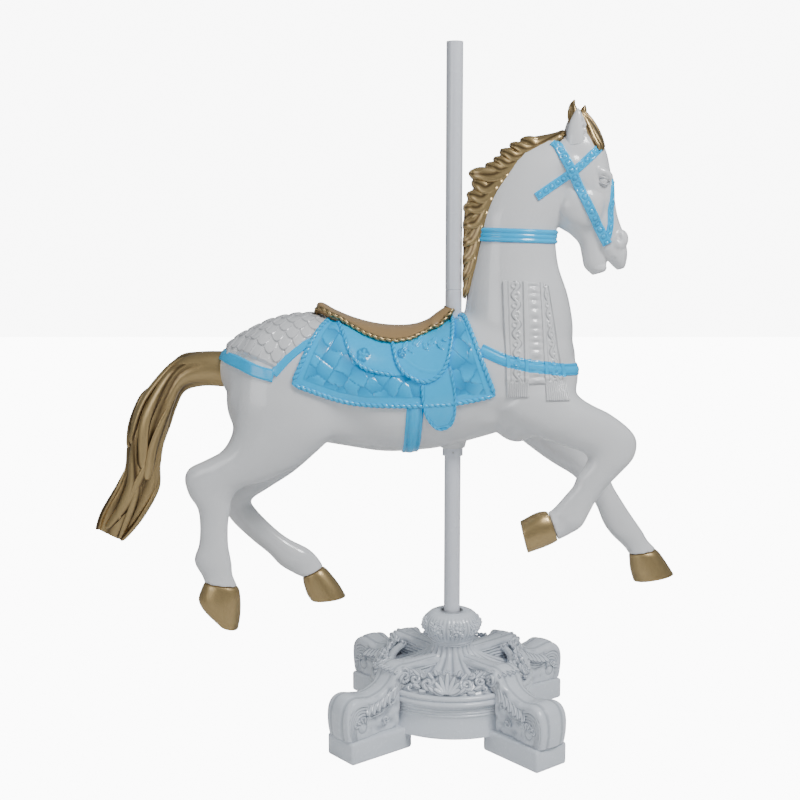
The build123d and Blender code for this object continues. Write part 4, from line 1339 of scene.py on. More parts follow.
class CAROUSEL_OT_mane(bpy.types.Operator):
    """Mane of overlapping carved locks behind the crest"""

    bl_idname = "carousel.mane"
    bl_label = "Mane"

    def execute(self, context):
        crest = np.array([(x, z, y) for (x, z), y in zip(CREST, CREST_SIDE)], dtype=float)
        rows, columns = 150, 26
        near_side, far_side, painted_shade = grids(rows, columns)
        for r in range(rows):
            s = r / (rows - 1)
            root, rim = along(crest, s), along(MANE_RIM, s)
            for c in range(columns):
                t = c / (columns - 1)
                wave = math.cos(2 * math.pi * (MANE_WAVES * s - 3.0 * t ** 0.8 + 0.5 * math.sin(5 * s)))
                spot = root[:2] * (1 - t) + rim * t
                y = max((root[2] + 1) * (1 - t ** 2.2) + 7 * t, 5) + 2.4 * wave * (1 - t ** 4)
                near_side[r, c] = place(spot[0], spot[1], -y)
                far_side[r, c] = place(spot[0], spot[1], y)
                # painted shade in the troughs of the waves
                painted_shade[r, c] = 0.9 * max(0.0, -wave) ** 1.5
        core = sheet_mesh("mane_core", near_side, far_side, painted_shade)
        mask = core.data.attributes["painted_shade"].data
        mask.foreach_set("value", np.tile(painted_shade.ravel(), 2).astype(np.float32))
        locks = [core]
        for layer, (inset, half) in enumerate(((1.0, 10), (0.5, 13))):
            for k, (tip_x, tip_z, root, wide) in enumerate(MANE_TIPS):
                for way in (-1, 1):
                    shift = 0.035 * layer * (1 if k % 2 else -1)
                    start = along(crest, min(max(root + shift, 0), 0.97))
                    middle = along(crest, min(root + shift + 0.11, 0.99))
                    tip = np.array([tip_x, tip_z], dtype=float)
                    edge = start[:2] * 0.25 + tip * 0.75 + (middle[:2] - start[:2]) * 0.25
                    path, out, widths = [], [], []
                    for spot, y, w in ((start[:2], start[2], 0.75), (middle[:2] * 0.72 + tip * 0.28,
                                        middle[2] - 3, 1.1), (edge, middle[2] * 0.72, 0.95),
                                       (tip * 0.92 + edge * 0.08, middle[2] * 0.42, 0.6),
                                       (tip, middle[2] * 0.3, 0.16)):
                        path.append(place(spot[0], spot[1], way * max(y, 6) * inset))
                        out.append((-0.25, way, 0.2))
                        widths.append(1.3 * wide * w * MM)
                    locks.append(lock(f"lock_{layer}_{k}_{way}", [tuple(p) for p in path], out,
                                      widths, half * MM, ridges=2, roll=30 * way))
        mane = joined("carved_mane", locks)
        points, _ = mesh_arrays(mane)
        clear = POLE_R + MANE_CLEAR
        near = np.hypot(points[:, 0], points[:, 1])
        push = (near < clear) | ((points[:, 0] < clear + 0.001) & (np.abs(points[:, 1]) < 0.05))
        points[:, 0] = np.where(push, np.maximum(points[:, 0], clear), points[:, 0])
        set_points(mane, points)
        finish_piece(mane, "horse", "gold_hair", coat_of("gold"), "mane")
        return {"FINISHED"}


class CAROUSEL_OT_forelock(bpy.types.Operator):
    """Forelock: a tuft between the ears and locks falling over the forehead"""

    bl_idname = "carousel.forelock"
    bl_label = "Forelock"

    def execute(self, context):
        locks = []
        falls = [
            [(352, 770), (360, 822), (382, 808), (406, 774), (422, 738), (420, 716)],
            [(344, 765), (350, 814), (374, 800), (399, 764), (415, 732), (414, 714)],
            [(348, 778), (364, 806), (381, 784), (394, 756), (405, 730), (408, 716)],
        ]
        for k, (spread, sideways) in enumerate(((0, 0), (1, -20), (1, 20), (2, -44), (2, 44),
                                                (1, -34), (1, 34))):
            path = [tuple(place(x, z, sideways * (0.3 + 0.18 * i)))
                    for i, (x, z) in enumerate(falls[spread])]
            out = [(-0.3, 0, 1), (0.1, 0.0, 1), (0.6, sideways / 60, 0.8), (0.9, sideways / 50, 0.5),
                   (1, sideways / 50, 0.2), (1, sideways / 50, 0)]
            widths = [w * MM for w in (8, 13, 16, 17, 13, 4)]
            locks.append(lock(f"fall_{k}", path, out, widths, 0.011, ridges=2, roll=25))
        tufts = [((350, 774), (338, 812), (337, 842), (343, 861), 0, 13),
                 ((352, 774), (346, 806), (342, 832), (338, 856), -12, 11),
                 ((352, 774), (350, 806), (346, 830), (341, 850), 12, 11),
                 ((362, 776), (366, 810), (370, 832), (374, 846), 0, 11)]
        for k, (a, b, c, d, y, wide) in enumerate(tufts):
            path = [tuple(place(x, z, y * s)) for (x, z), s in zip((a, b, c, d), (1, 1.2, 1, 0.5))]
            locks.append(lock(f"tuft_{k}", path, [(-0.4, 1 if y > 0 else -1, 0.1)] * 4,
                              [w * wide * MM for w in (1, 1.15, 0.8, 0.16)], 0.012, ridges=2, roll=40))
        finish_piece(joined("carved_forelock", locks), "horse", "gold_hair", coat_of("gold"), "forelock")
        return {"FINISHED"}


# Tail: front and back outline down its length, half width
TAIL = [
    ((-664, 143), (-672, 34), 40), ((-742, 142), (-734, 36), 45), ((-803, 130), (-788, 20), 48),
    ((-864, 70), (-815, -30), 49), ((-925, 2), (-832, -84), 48), ((-958, -80), (-850, -140), 46),
    ((-968, -150), (-862, -200), 44), ((-974, -205), (-872, -262), 42),
    ((-1000, -262), (-896, -312), 37), ((-1036, -318), (-926, -362), 29),
    ((-1056, -364), (-958, -404), 18), ((-1064, -388), (-984, -428), 10),
]

# Locks on the tail: start and end along it, start and end angle round it, half width
TAIL_LOCKS = [
    (0.10, 0.58, 0.9, 1.7, 19), (0.24, 0.62, 2.4, 2.0, 18), (0.30, 0.52, 0.1, 0.7, 15),
    (0.40, 0.86, 0.9, 1.5, 17), (0.48, 0.93, 2.0, 1.2, 18), (0.55, 0.99, 3.1, 2.6, 16),
    (0.62, 0.995, 0.3, 0.5, 15), (0.60, 0.98, 1.6, 2.3, 15), (0.12, 0.5, -0.4, -0.9, 16),
]


def tail_point(rows, t, turn, grow):
    """A point on the tail's skin at fraction t of its length and an angle round it."""
    index = t * (len(rows) - 1)
    fx, fz, bx, bz, half = [np.interp(index, np.arange(len(rows)), rows[:, a]) for a in range(5)]
    reach, across = math.cos(turn) * grow, math.sin(turn) * grow
    return np.array(place((fx + bx) / 2 + reach * (fx - bx) / 2,
                          (fz + bz) / 2 + reach * (fz - bz) / 2, across * half))


class CAROUSEL_OT_tail(bpy.types.Operator):
    """Tail: a carved core with broad twisted locks and stepped tips"""

    bl_idname = "carousel.tail"
    bl_label = "Tail"

    def execute(self, context):
        rows = flow(section_rows(TAIL), 10)
        around, count = 72, len(rows)
        points, painted_shade = [], []
        for i in range(count):
            t = i / (count - 1)
            for k in range(around):
                turn = 2 * math.pi * k / around
                swirl = turn * 5 + 6.5 * t + 0.9 * math.sin(9 * t + turn)
                ridge = abs(math.sin(swirl / 2))
                deep = 0.16 * soft_step(t, 0.02, 0.22) * (1 - ridge) ** 1.3
                points.append(tail_point(rows, t, turn, 0.97 - deep))
                # painted shade where the swirl cuts deepest
                painted_shade.append(min(1.0, 5.5 * deep))
        parts = [outward(make_object("tail_core", points, ring_faces(count, around), painted_shade))]
        for k, (t0, t1, a0, a1, wide) in enumerate(TAIL_LOCKS):
            for way in (-1, 1):
                path, out, widths = [], [], []
                for s, w, grow in ((0, 0.12, 0.86), (0.25, 0.75, 0.93), (0.6, 1, 0.95),
                                   (0.9, 0.92, 0.95), (1, 0.55, 0.9)):
                    t, turn = t0 + (t1 - t0) * s, way * (a0 + (a1 - a0) * s)
                    point = tail_point(rows, t, turn, grow)
                    path.append(tuple(point))
                    out.append(tuple(point - tail_point(rows, t, turn, 0.1)))
                    widths.append(wide * w * MM)
                out = [tuple(np.array(o) / np.linalg.norm(o)) for o in out]
                parts.append(lock(f"tail_lock_{k}_{way}", path, out, widths, 0.0085, ridges=1,
                                  roll=12 * way))
        finish_piece(joined("carved_tail", parts), "horse", "gold_hair", coat_of("gold"), "tail")
        return {"FINISHED"}


# ---- White carving on the skin --------------------------------------------------------------
class CAROUSEL_OT_scales(bpy.types.Operator):
    """Fish-scale carving over the rump"""

    bl_idname = "carousel.scales"
    bl_label = "Rump Scales"

    def execute(self, context):
        hide = the_hide()
        wide, tall = 0.040, 0.030

        def relief(x, down, u, v, edge):
            row = down / tall
            best, dark = 0.0, 0.0
            for r in (math.floor(row) - 1, math.floor(row)):
                shift = 0.5 * wide * (r % 2)
                middle = round((x - shift) / wide) * wide + shift
                dx, dz = (x - middle) / (wide * 0.56), (down - r * tall) / (tall * 1.9)
                if dz >= 0 and dx * dx + dz * dz < 1:
                    far = math.sqrt(dx * dx + dz * dz)
                    best = 0.0006 + 0.0030 * dz + 0.0008 * (1 - dx * dx)
                    # painted shade along the rim of each scale
                    dark = 0.35 * soft_step(far, 0.93, 1.0)
                    break
            fade = soft_step(edge, 0.0, 0.012) * soft_step(v, -0.2, 0.05)
            return 0.0012 + 2.1 * best * fade, 2.2 * dark * fade

        top = [(-668, RIDGE), (-560, RIDGE), (-470, RIDGE), (-352, RIDGE)]
        foot = [(-660, 128), (-600, 142), (-540, 120), (-505, 104), (-470, 140), (-425, 176),
                (-392, 196), (-368, 214)]
        halves = [side_patch(f"scales_{way}", hide, top, foot, way, relief, 170, 110, flat=False)
                  for way in (-1, 1)]
        finish_piece(joined("rump_scales", halves), "horse", "horse_white", coat_of("white"))
        return {"FINISHED"}


def tree_patch(name, tree, corners, way, relief, columns, rows, sink=-0.004):
    """A raised slab projected sideways on the skin inside four corner points of a side view."""
    (ax, az), (bx, bz), (cx, cz), (dx, dz) = corners       # top back, top front, foot front, foot back
    outer, inner, painted_shade = grids(rows, columns)
    for r in range(rows):
        v = r / (rows - 1)
        for c in range(columns):
            u = c / (columns - 1)
            x = (ax * (1 - u) + bx * u) * (1 - v) + (dx * (1 - u) + cx * u) * v
            z = (az * (1 - u) + bz * u) * (1 - v) + (dz * (1 - u) + cz * u) * v
            hit, normal = struck(tree, place(x, z, way * 400), Vector((0, -way, 0)),
                                 place(x, z, way * 60))
            height, dark = relief(u, z)
            outer[r, c], inner[r, c] = hit + normal * height, hit + normal * sink
            painted_shade[r, c] = dark
    return sheet_mesh(name, outer, inner, painted_shade)


VINE_PERIOD = 54        # millimetres between two like turns of the vine
SCARF_HALF = 31         # half the width of a panel
SCARF_TOP = 349
SCARF_FOOT = 82         # where the hem lies; the fringe hangs below it
STRAP_HALF = 0.018      # half the height of the band where a scarf carries the strap's blue
SCARF_PANELS = (
    ("rear", [(137, 349), (203, 347), (208, 23), (146, 23)]),
    ("front", [(240, 345), (268, 332), (325, 12), (258, 14)]),
)


class CAROUSEL_OT_scarves(bpy.types.Operator):
    """Scarf panels with a running vine, borders and fringe, and the pleats between them"""

    bl_idname = "carousel.scarves"
    bl_label = "Scarf Panels"

    def execute(self, context):
        tree = the_tree()

        def panel_relief(u, z):
            fringe = soft_step(SCARF_FOOT - 14 - z, 0, 6)
            across = 2 * u - 1
            rail = soft_step(abs(across), 0.62, 0.70)
            rail_shade_line = 1 - soft_step(abs(abs(across) - 0.62), 0.02, 0.10)
            phase = (SCARF_TOP - z) / VINE_PERIOD
            swing = 0.24 * math.sin(2 * math.pi * phase)
            vine = 1 - soft_step(abs(across - swing), 0.07, 0.15)
            half = math.floor(2 * phase)
            way_round = 1 if half % 2 else -1
            local = (2 * phase - half - 0.5) * VINE_PERIOD / 2 / SCARF_HALF
            spot = math.hypot(across - way_round * 0.08, local)
            curl = 1 - soft_step(abs(spot - 0.22), 0.05, 0.11)
            carve = max(vine, 0.9 * curl * (across * way_round > -0.1))
            strand = 0.5 + 0.5 * math.cos(2 * math.pi * across * 5.5)
            field = 0.0026 + 0.0046 * rail + 0.0044 * carve * (1 - rail)
            tassel = 0.0042 + 0.0030 * strand
            hem = 0.0022 * (1 - soft_step(abs(z - SCARF_FOOT + 6), 3, 7))
            height = field * (1 - fringe) + tassel * fringe + hem
            # painted shade round the vine, inside the rails and between the fringe's strands
            outline = (1 - carve) * (1 - soft_step(abs(abs(across - swing) - 0.17), 0.03, 0.10))
            dark = max(0.6 * outline, 0.5 * rail_shade_line) * (1 - fringe)
            dark += fringe * 0.45 * (1 - strand) ** 2
            return height, dark * (abs(across) < 0.94)

        def pleat_relief(u, z):
            fold = 0.5 + 0.5 * math.cos(2 * math.pi * (SCARF_TOP - z) / 23 + 1.2 * math.sin(z * 0.05))
            drape = math.exp(-((u - 0.5) / 0.34) ** 2)
            hem = 0.003 * (1 - soft_step(abs(z - 66), 4, 10))
            # painted shade in the troughs of the folds
            return 0.0018 + 0.0032 * fold * drape + hem, 0.4 * (1 - fold) * drape

        for side, way in SIDES:
            parts = []
            for name, corners in SCARF_PANELS:
                parts.append(tree_patch(f"scarf_{name}_{way}", tree, corners, way, panel_relief, 54, 150))
            between = [(203, 344), (241, 342), (258, 60), (207, 60)]
            parts.append(tree_patch(f"scarf_pleats_{way}", tree, between, way, pleat_relief, 28, 90))
            piece = joined(f"scarf_carving_{side}", parts)
            finish_piece(piece, "horse", "scarf_white", coat_of("white"), f"scarf_{side}")
            piece.data.materials.append(coat_of("blue"))
            for face in piece.data.polygons:
                strap_z = np.interp(face.center.x / MM, *np.array(BREAST_LINE).T) * MM + HORSE_Z
                face.material_index = int(abs(face.center.z - strap_z) < STRAP_HALF)
        return {"FINISHED"}


# Lids and the fold over them, in metres: height over the eye's middle, half length, thickness
LIDS = ((0.0095, 0.0190, 0.0034), (-0.0090, 0.0175, 0.0026), (0.0160, 0.0205, 0.0018))


class CAROUSEL_OT_eyes(bpy.types.Operator):
    """Eyes carved in the white: a ball under heavy lids with folds"""

    bl_idname = "carousel.eyes"
    bl_label = "Eyes"

    def execute(self, context):
        radius = sizes().eye_radius
        parts = []
        for way in (-1, 1):
            centre = place(422, 631, way * EYE_SIDE)
            bpy.ops.mesh.primitive_uv_sphere_add(segments=40, ring_count=24, radius=radius,
                                                 location=centre)
            bpy.ops.object.transform_apply(location=True)
            bpy.ops.object.shade_smooth()
            parts.append(bpy.context.object)
            for rise, reach, thick in LIDS:
                path = []
                for k in range(13):
                    angle = math.pi * (k / 12 - 0.5)
                    swing = math.sin(angle) * reach
                    lift = rise * math.cos(angle) ** 0.8 - 0.004 * math.sin(angle)
                    path.append(tuple(centre + Vector((swing * 0.93, way * (
                        math.sqrt(max(radius ** 2 * 1.25 - swing ** 2 * 0.8, 0)) - abs(rise) * 0.25),
                        lift))))
                parts.append(swept(f"lid_{way}_{rise}", path, thick, depth=0.0, taper=True, around=10))
        eyes = joined("carved_eyes", parts)
        finish_piece(eyes, "horse", "horse_white", coat_of("white"))
        return {"FINISHED"}


# ---- Pedestal -------------------------------------------------------------------------------
LEG_COUNT = 4
FIRST_BLOCK = [(low + high) / 2 for low, high in zip(*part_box("plinth_block_1"))]
LEG_TURN = math.atan2(FIRST_BLOCK[1], FIRST_BLOCK[0])
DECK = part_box("base_drum")[1][2]
DRUM_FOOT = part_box("base_drum")[0][2]
RIM_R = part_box("base_drum")[1][0]
FLARE_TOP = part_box("flared_neck")[1][2]
URN_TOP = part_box("urn_collar")[1][2]
PLINTH_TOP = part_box("plinth_block_1")[1][2]
PLINTH_HALF_LENGTH = 0.087
PLINTH_HALF_WIDTH = 0.060
PLINTH_TAIL = 0.045     # how far a plinth runs on under the drum
LEG_EYE = (0.376, PLINTH_TOP + 0.034)
SLOPE = (0.62, 0.785)   # how the ground under a palmette runs inwards and up
REED = 9.2              # millimetres between the reeds on a leg's side


def lathe(name, profile, steps=144):
    """A closed ring turned about the pole from a closed outline of (radius, height) in metres."""
    mesh = bpy.data.meshes.new(name)
    count = len(profile)
    mesh.from_pydata([(r, 0, z) for r, z in profile], [(k, (k + 1) % count) for k in range(count)], [])
    obj = bpy.data.objects.new(name, mesh)
    bpy.context.collection.objects.link(obj)
    select_only(obj)
    bpy.ops.object.mode_set(mode="EDIT")
    bpy.ops.mesh.select_all(action="SELECT")
    bpy.ops.mesh.spin(steps=steps, angle=2 * math.pi, center=(0, 0, 0), axis=(0, 0, 1))
    bpy.ops.mesh.select_all(action="SELECT")
    bpy.ops.mesh.remove_doubles(threshold=0.00001)
    bpy.ops.mesh.normals_make_consistent(inside=False)
    bpy.ops.object.mode_set(mode="OBJECT")
    bpy.ops.object.shade_smooth_by_angle(angle=math.radians(48))
    return obj


def carve(obj, height):
    """Move points along their radius and mark painted shade: height(angle, radius, z) gives both."""
    points, _ = mesh_arrays(obj)
    mask = np.zeros(len(points))
    for k, (x, y, z) in enumerate(points):
        radius = math.hypot(x, y)
        push, mask[k] = height(math.atan2(y, x), radius, z)
        points[k, :2] *= (radius + push) / max(radius, 1e-6)
    set_points(obj, points)
    painted_shade = obj.data.attributes.new("painted_shade", "FLOAT", "POINT")
    painted_shade.data.foreach_set("value", mask.astype(np.float32))


def compass(turn):
    """Unit vectors outwards and sideways at an angle round the pole."""
    return (np.array([math.cos(turn), math.sin(turn), 0.0]),
            np.array([-math.sin(turn), math.cos(turn), 0.0]))


def mm_profile(rows):
    """An outline given in millimetres, in metres."""
    return [(r * MM, z * MM) for r, z in rows]


class CAROUSEL_OT_drum(bpy.types.Operator):
    """Moulded drum of the pedestal"""

    bl_idname = "carousel.drum"
    bl_label = "Drum"

    def execute(self, context):
        top, foot, rim = DECK / MM, DRUM_FOOT / MM, RIM_R / MM
        outline = [(150, top - 8), (150, top - 1)]
        outline += [(150 + k * (rim - 162) / 6, top - 1) for k in range(1, 7)]
        outline += [(rim - 7 + 8 * math.sin(a), top - 7.5 + 8 * math.cos(a))
                    for a in np.linspace(0.1, 2.9, 9)]
        outline += [(rim - 3 + 5 * math.sin(a), top - 25 + 6.5 * math.cos(a))
                    for a in np.linspace(0.4, 2.9, 8)]
        outline += [(rim - 10, top - 34), (rim - 12, top - 38)]
        for low in (44, 53, 62):
            outline += [(rim - 11 - low / 18 + 2.4 * math.sin(a), top - low + 3.4 * math.cos(a))
                        for a in np.linspace(0.2, 2.9, 5)]
        outline += [(rim - 15, top - 70), (rim - 14, top - 82), (rim - 11, top - 96),
                    (rim - 7, top - 110), (rim - 4, foot + 8), (rim - 4, foot + 1), (rim - 6, foot),
                    (rim - 40, foot), (rim - 40, foot + 10), (rim - 24, foot + 12),
                    (rim - 24, top - 12), (rim - 60, top - 8)]
        drum = lathe("moulded_drum", mm_profile(outline), 160)
        finish_piece(drum, "stand", "pedestal_white", coat_of("stand"), "base_drum")
        return {"FINISHED"}


class CAROUSEL_OT_flare(bpy.types.Operator):
    """Fluted neck that flares down to the drum"""

    bl_idname = "carousel.flare"
    bl_label = "Fluted Neck"

    def execute(self, context):
        top, deck = FLARE_TOP / MM, DECK / MM
        outline = []
        for k in range(30):
            t = k / 29
            outline.append((58 + 150 * (1 - t) ** 2.3, deck + (top - deck) * t ** 0.92))
        outline += [(58, top), (50, top), (50, top - 30)]
        outline += [(50 + 140 * t ** 2, deck - 6 + (top - 36 - deck) * (1 - t)) for t in (0.3, 0.6, 0.9)]
        outline += [(200, deck - 2)]
        neck = lathe("fluted_neck", mm_profile(outline), 224)

        def flutes(angle, radius, z):
            rise = (z - DECK) / (FLARE_TOP - DECK)
            deep = soft_step(rise, 0.02, 0.25) * (1 - 0.55 * soft_step(rise, 0.6, 1.0))
            wave = math.cos(22 * angle)
            outside = radius > 0.056 and z > DECK
            # painted shade in the flutes' troughs
            return outside * deep * 0.0050 * wave, outside * 0.75 * deep * max(0.0, -wave) ** 2

        carve(neck, flutes)
        finish_piece(neck, "stand", "pedestal_white", coat_of("stand"), "flared_neck")
        return {"FINISHED"}


def rosette(centre, out, radius, petals=5):
    """Points and faces of a small carved flower facing outwards."""
    out = np.array(out) / np.linalg.norm(out)
    side = np.cross(out, (0, 0, 1.0))
    side /= np.linalg.norm(side)
    up = np.cross(side, out)
    parts = []
    for k in range(petals + 1):
        turn = 2 * math.pi * k / petals
        if k == petals:
            offset, size = np.zeros(3), (0.36, 0.36, 0.66)
        else:
            offset = (side * math.cos(turn) + up * math.sin(turn)) * radius * 0.62
            size = (0.40, 0.40, 0.44)
        points = []
        rings, around = 5, 8
        for i in range(rings + 1):
            polar = math.pi * min(max(i / rings, 0.002), 0.998)
            for j in range(around):
                a = 2 * math.pi * j / around
                points.append(centre + offset + radius * (
                    side * size[0] * math.sin(polar) * math.cos(a)
                    + up * size[1] * math.sin(polar) * math.sin(a) + out * size[2] * math.cos(polar)))
        parts.append((points, ring_faces(rings + 1, around)))
    return merge(parts)


URN_CLUSTERS = 8
# Flowers of one cluster: angle from its middle, distance below the urn's top, size
URN_FLOWERS = ((0, 41, 15), (-0.2, 30, 10), (0.2, 31, 10), (-0.17, 55, 9), (0.16, 56, 9),
               (0, 64, 7), (0, 21, 7))
# The urn's radius at distances below its top
URN_BELLY = ([10, 22, 31, 40, 50, 59, 68], [72, 81, 84.5, 85.6, 84, 80, 74.5])


class CAROUSEL_OT_urn(bpy.types.Operator):
    """Urn with reeds and flower clusters round its belly"""

    bl_idname = "carousel.urn"
    bl_label = "Urn"

    def execute(self, context):
        top, foot = URN_TOP / MM - 7, FLARE_TOP / MM
        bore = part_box("pole_bushes")[1][0] / MM
        outline = [(bore + 1.5, top - 12), (bore + 1.5, top - 1.5), (bore + 3, top)]
        outline += [(48, top + 0.2), (58, top - 1.2), (67, top - 5.5), (75, top - 13),
                    (81, top - 22), (84.5, top - 31), (85.6, top - 40), (84, top - 50),
                    (80, top - 59), (74.5, top - 68), (69, top - 76), (65, top - 83), (62.5, top - 88)]
        outline += [(62 + 3.4 * math.sin(a), foot + 10 + 4 * math.cos(a))
                    for a in np.linspace(0.35, 2.8, 6)]
        outline += [(61, foot + 4), (62.5, foot + 1), (61, foot), (44, foot), (44, top - 16)]
        urn = lathe("urn_body", mm_profile(outline), 200)

        def reeds(angle, radius, z):
            rise = (z / MM - foot) / (top - foot)
            band = soft_step(rise, 0.16, 0.3) * (1 - soft_step(rise, 0.80, 0.92))
            wave = math.cos(40 * angle)
            outside = radius > 0.058
            # painted shade in the troughs between the reeds
            return outside * band * 0.0017 * wave, outside * 0.7 * band * max(0.0, -wave) ** 2

        carve(urn, reeds)
        flowers = []
        for k in range(URN_CLUSTERS):
            turn = 2 * math.pi * (k + 0.2) / URN_CLUSTERS
            for shift, drop, size in URN_FLOWERS:
                a = turn + shift
                radius = float(np.interp(drop, *URN_BELLY))
                centre = np.array([math.cos(a) * radius, math.sin(a) * radius, top - drop]) * MM
                tilt = (40 - drop) / 45
                flowers.append(rosette(centre, (math.cos(a), math.sin(a), tilt), size * MM))
        carving = outward(make_object("urn_flowers", *merge(flowers)))
        finish_piece(joined("carved_urn", [urn, carving]), "stand", "pedestal_white", coat_of("stand"),
                     "urn_collar")
        return {"FINISHED"}


# Scroll leg: the line over its top and round its toe, and the line it closes on, from the pole out
LEG_TOP = [(66, 232), (118, 233), (160, 235), (194, 238), (218, 241), (237, 236), (250, 222),
           (262, 204), (280, 188), (305, 177), (335, 172), (362, 176), (388, 181), (409, 176),
           (424, 160), (431, 137), (432, 108), (429, 85), (425, 67)]
LEG_CORE = [(66, 178), (118, 178), (160, 178), (200, 176), (232, 170), (244, 66), (252, 66),
            (266, 66), (288, 66), (310, 66), (330, 66), (345, 66), (358, 66), (368, 66),
            (376, 66), (384, 66), (393, 66), (402, 66), (410, 66)]
LEG_HALF = [26, 28, 33, 40, 46, 46, 43, 41, 40, 41, 44, 47, 50, 51, 51, 50, 49, 49, 49]
# Scrolls on a leg's side: distance out, height, distance to the side, radius, turns, start, thickness
LEG_SCROLLS = ((224, 214, 46, 24, 1.7, 1.2, 6.0), (184, 216, 38, 14, 1.4, 2.6, 4.5),
               (272, 150, 42, 16, 1.5, 0.4, 4.6), (292, 104, 44, 14, 1.4, 2.4, 4.2))
EYE_REACH = 34          # how far the volute's rings spread round its eye


def leg_section(top, core, half, fraction):
    """Points and marks of painted shade of one slice of a scroll leg, from its core over the top and
    back.
    """
    span = core - top
    length = np.linalg.norm(span)
    inward = span / max(length, 1e-9)
    side_steps, top_steps = 48, 18
    for way in (-1, 1):
        rows = []
        for k in range(side_steps):
            q = k / (side_steps - 1)
            d = q * length
            swell, dark = 0.0, 0.0
            if d < 13:
                swell -= 7.0 * (1 - math.sqrt(max(0.0, 1 - (1 - d / 13) ** 2)))
            else:
                reed = abs(math.sin(math.pi * (d - 13) / REED))
                fade = 1 - soft_step(d, 58, 66)
                swell += fade * (6.0 * reed - 3.2) - 3.4 * (1 - fade)
                # painted shade in the troughs between the reeds
                dark = fade * 0.8 * (1 - reed) ** 2
            # the eye of the volute, and the beads round it
            spot = top + inward * d
            far = math.hypot(spot[0] - LEG_EYE[0] / MM, spot[1] - LEG_EYE[1] / MM)
            if far < EYE_REACH:
                turn = math.atan2(spot[1] - LEG_EYE[1] / MM, spot[0] - LEG_EYE[0] / MM)
                swell += 5.5 * (1 - soft_step(far, 6, 15)) + 1.4 * abs(math.sin(4.5 * turn)) * (
                    soft_step(far, 15, 19) * (1 - soft_step(far, 27, 33)))
                # painted shade in the ring round the volute's eye
                dark = max(dark, 0.6 * (1 - soft_step(abs(far - 15.5), 0.5, 3)))
            elif fraction < 0.6:
                leafy = math.sin(d / 7.5 + 46 * fraction) * math.sin(d / 19 - 20 * fraction)
                swell += 2.6 * leafy
                # painted shade in the hollows of the leafy carving
                dark = max(dark, 0.5 * max(0.0, -leafy) ** 1.5)
            rows.append((spot, way * (half + swell), dark))
        if way < 0:
            rows.reverse()
            left = rows
        else:
            right = rows
    crown = []
    for k in range(1, top_steps):
        t = -1 + 2 * k / top_steps
        roll = 5.5 * (1 - t * t) - 2.6 * math.exp(-((abs(t) - 0.62) / 0.09) ** 2)
        # painted shade in the grooves along the rolled back
        crown.append((top - inward * (roll + 0.2), t * (half - 7), 0.6 * math.exp(
            -((abs(t) - 0.62) / 0.09) ** 2)))
    return left + crown + right


def scroll_leg(name, turn):
    """One scroll leg with reeded sides and a rolled back."""
    rows = flow([(*t, *c, h) for t, c, h in zip(LEG_TOP, LEG_CORE, LEG_HALF)], 8)
    along_leg, across = compass(turn)
    points, painted_shade = [], []
    for i, row in enumerate(rows):
        for spot, y, dark in leg_section(row[:2], row[2:4], row[4], i / len(rows)):
            points.append((along_leg * spot[0] + across * y + np.array([0, 0, spot[1]])) * MM)
            painted_shade.append(dark)
    faces = ring_faces(len(rows), len(points) // len(rows))
    return outward(make_object(name, points, faces, painted_shade))


def spiral(centre, side, up, out, radius, turns, start, dome):
    """Points of a domed spiral from its rim to its eye."""
    path = []
    count = int(30 * turns)
    for k in range(count + 1):
        t = k / count
        angle = start + 2 * math.pi * turns * t
        size = radius * (1 - 0.86 * t ** 0.8)
        path.append(centre + (side * math.cos(angle) + up * math.sin(angle)) * size + out * dome * t)
    return path


def leaf_lobe(name, start, end, out, width, depth, bend):
    """A carved leaf lobe: a lock from start to end that lifts along out at its tip."""
    start, end, out = np.array(start), np.array(end), np.array(out) / np.linalg.norm(out)
    path = [tuple(start + (end - start) * t + out * bend * (t ** 2)) for t in (0, 0.3, 0.65, 0.9, 1)]
    return lock(name, path, [tuple(out)] * 5, [width * w for w in (0.45, 0.9, 1.0, 0.75, 0.25)], depth,
                ridges=2, roll=0, around=16, steps=4)


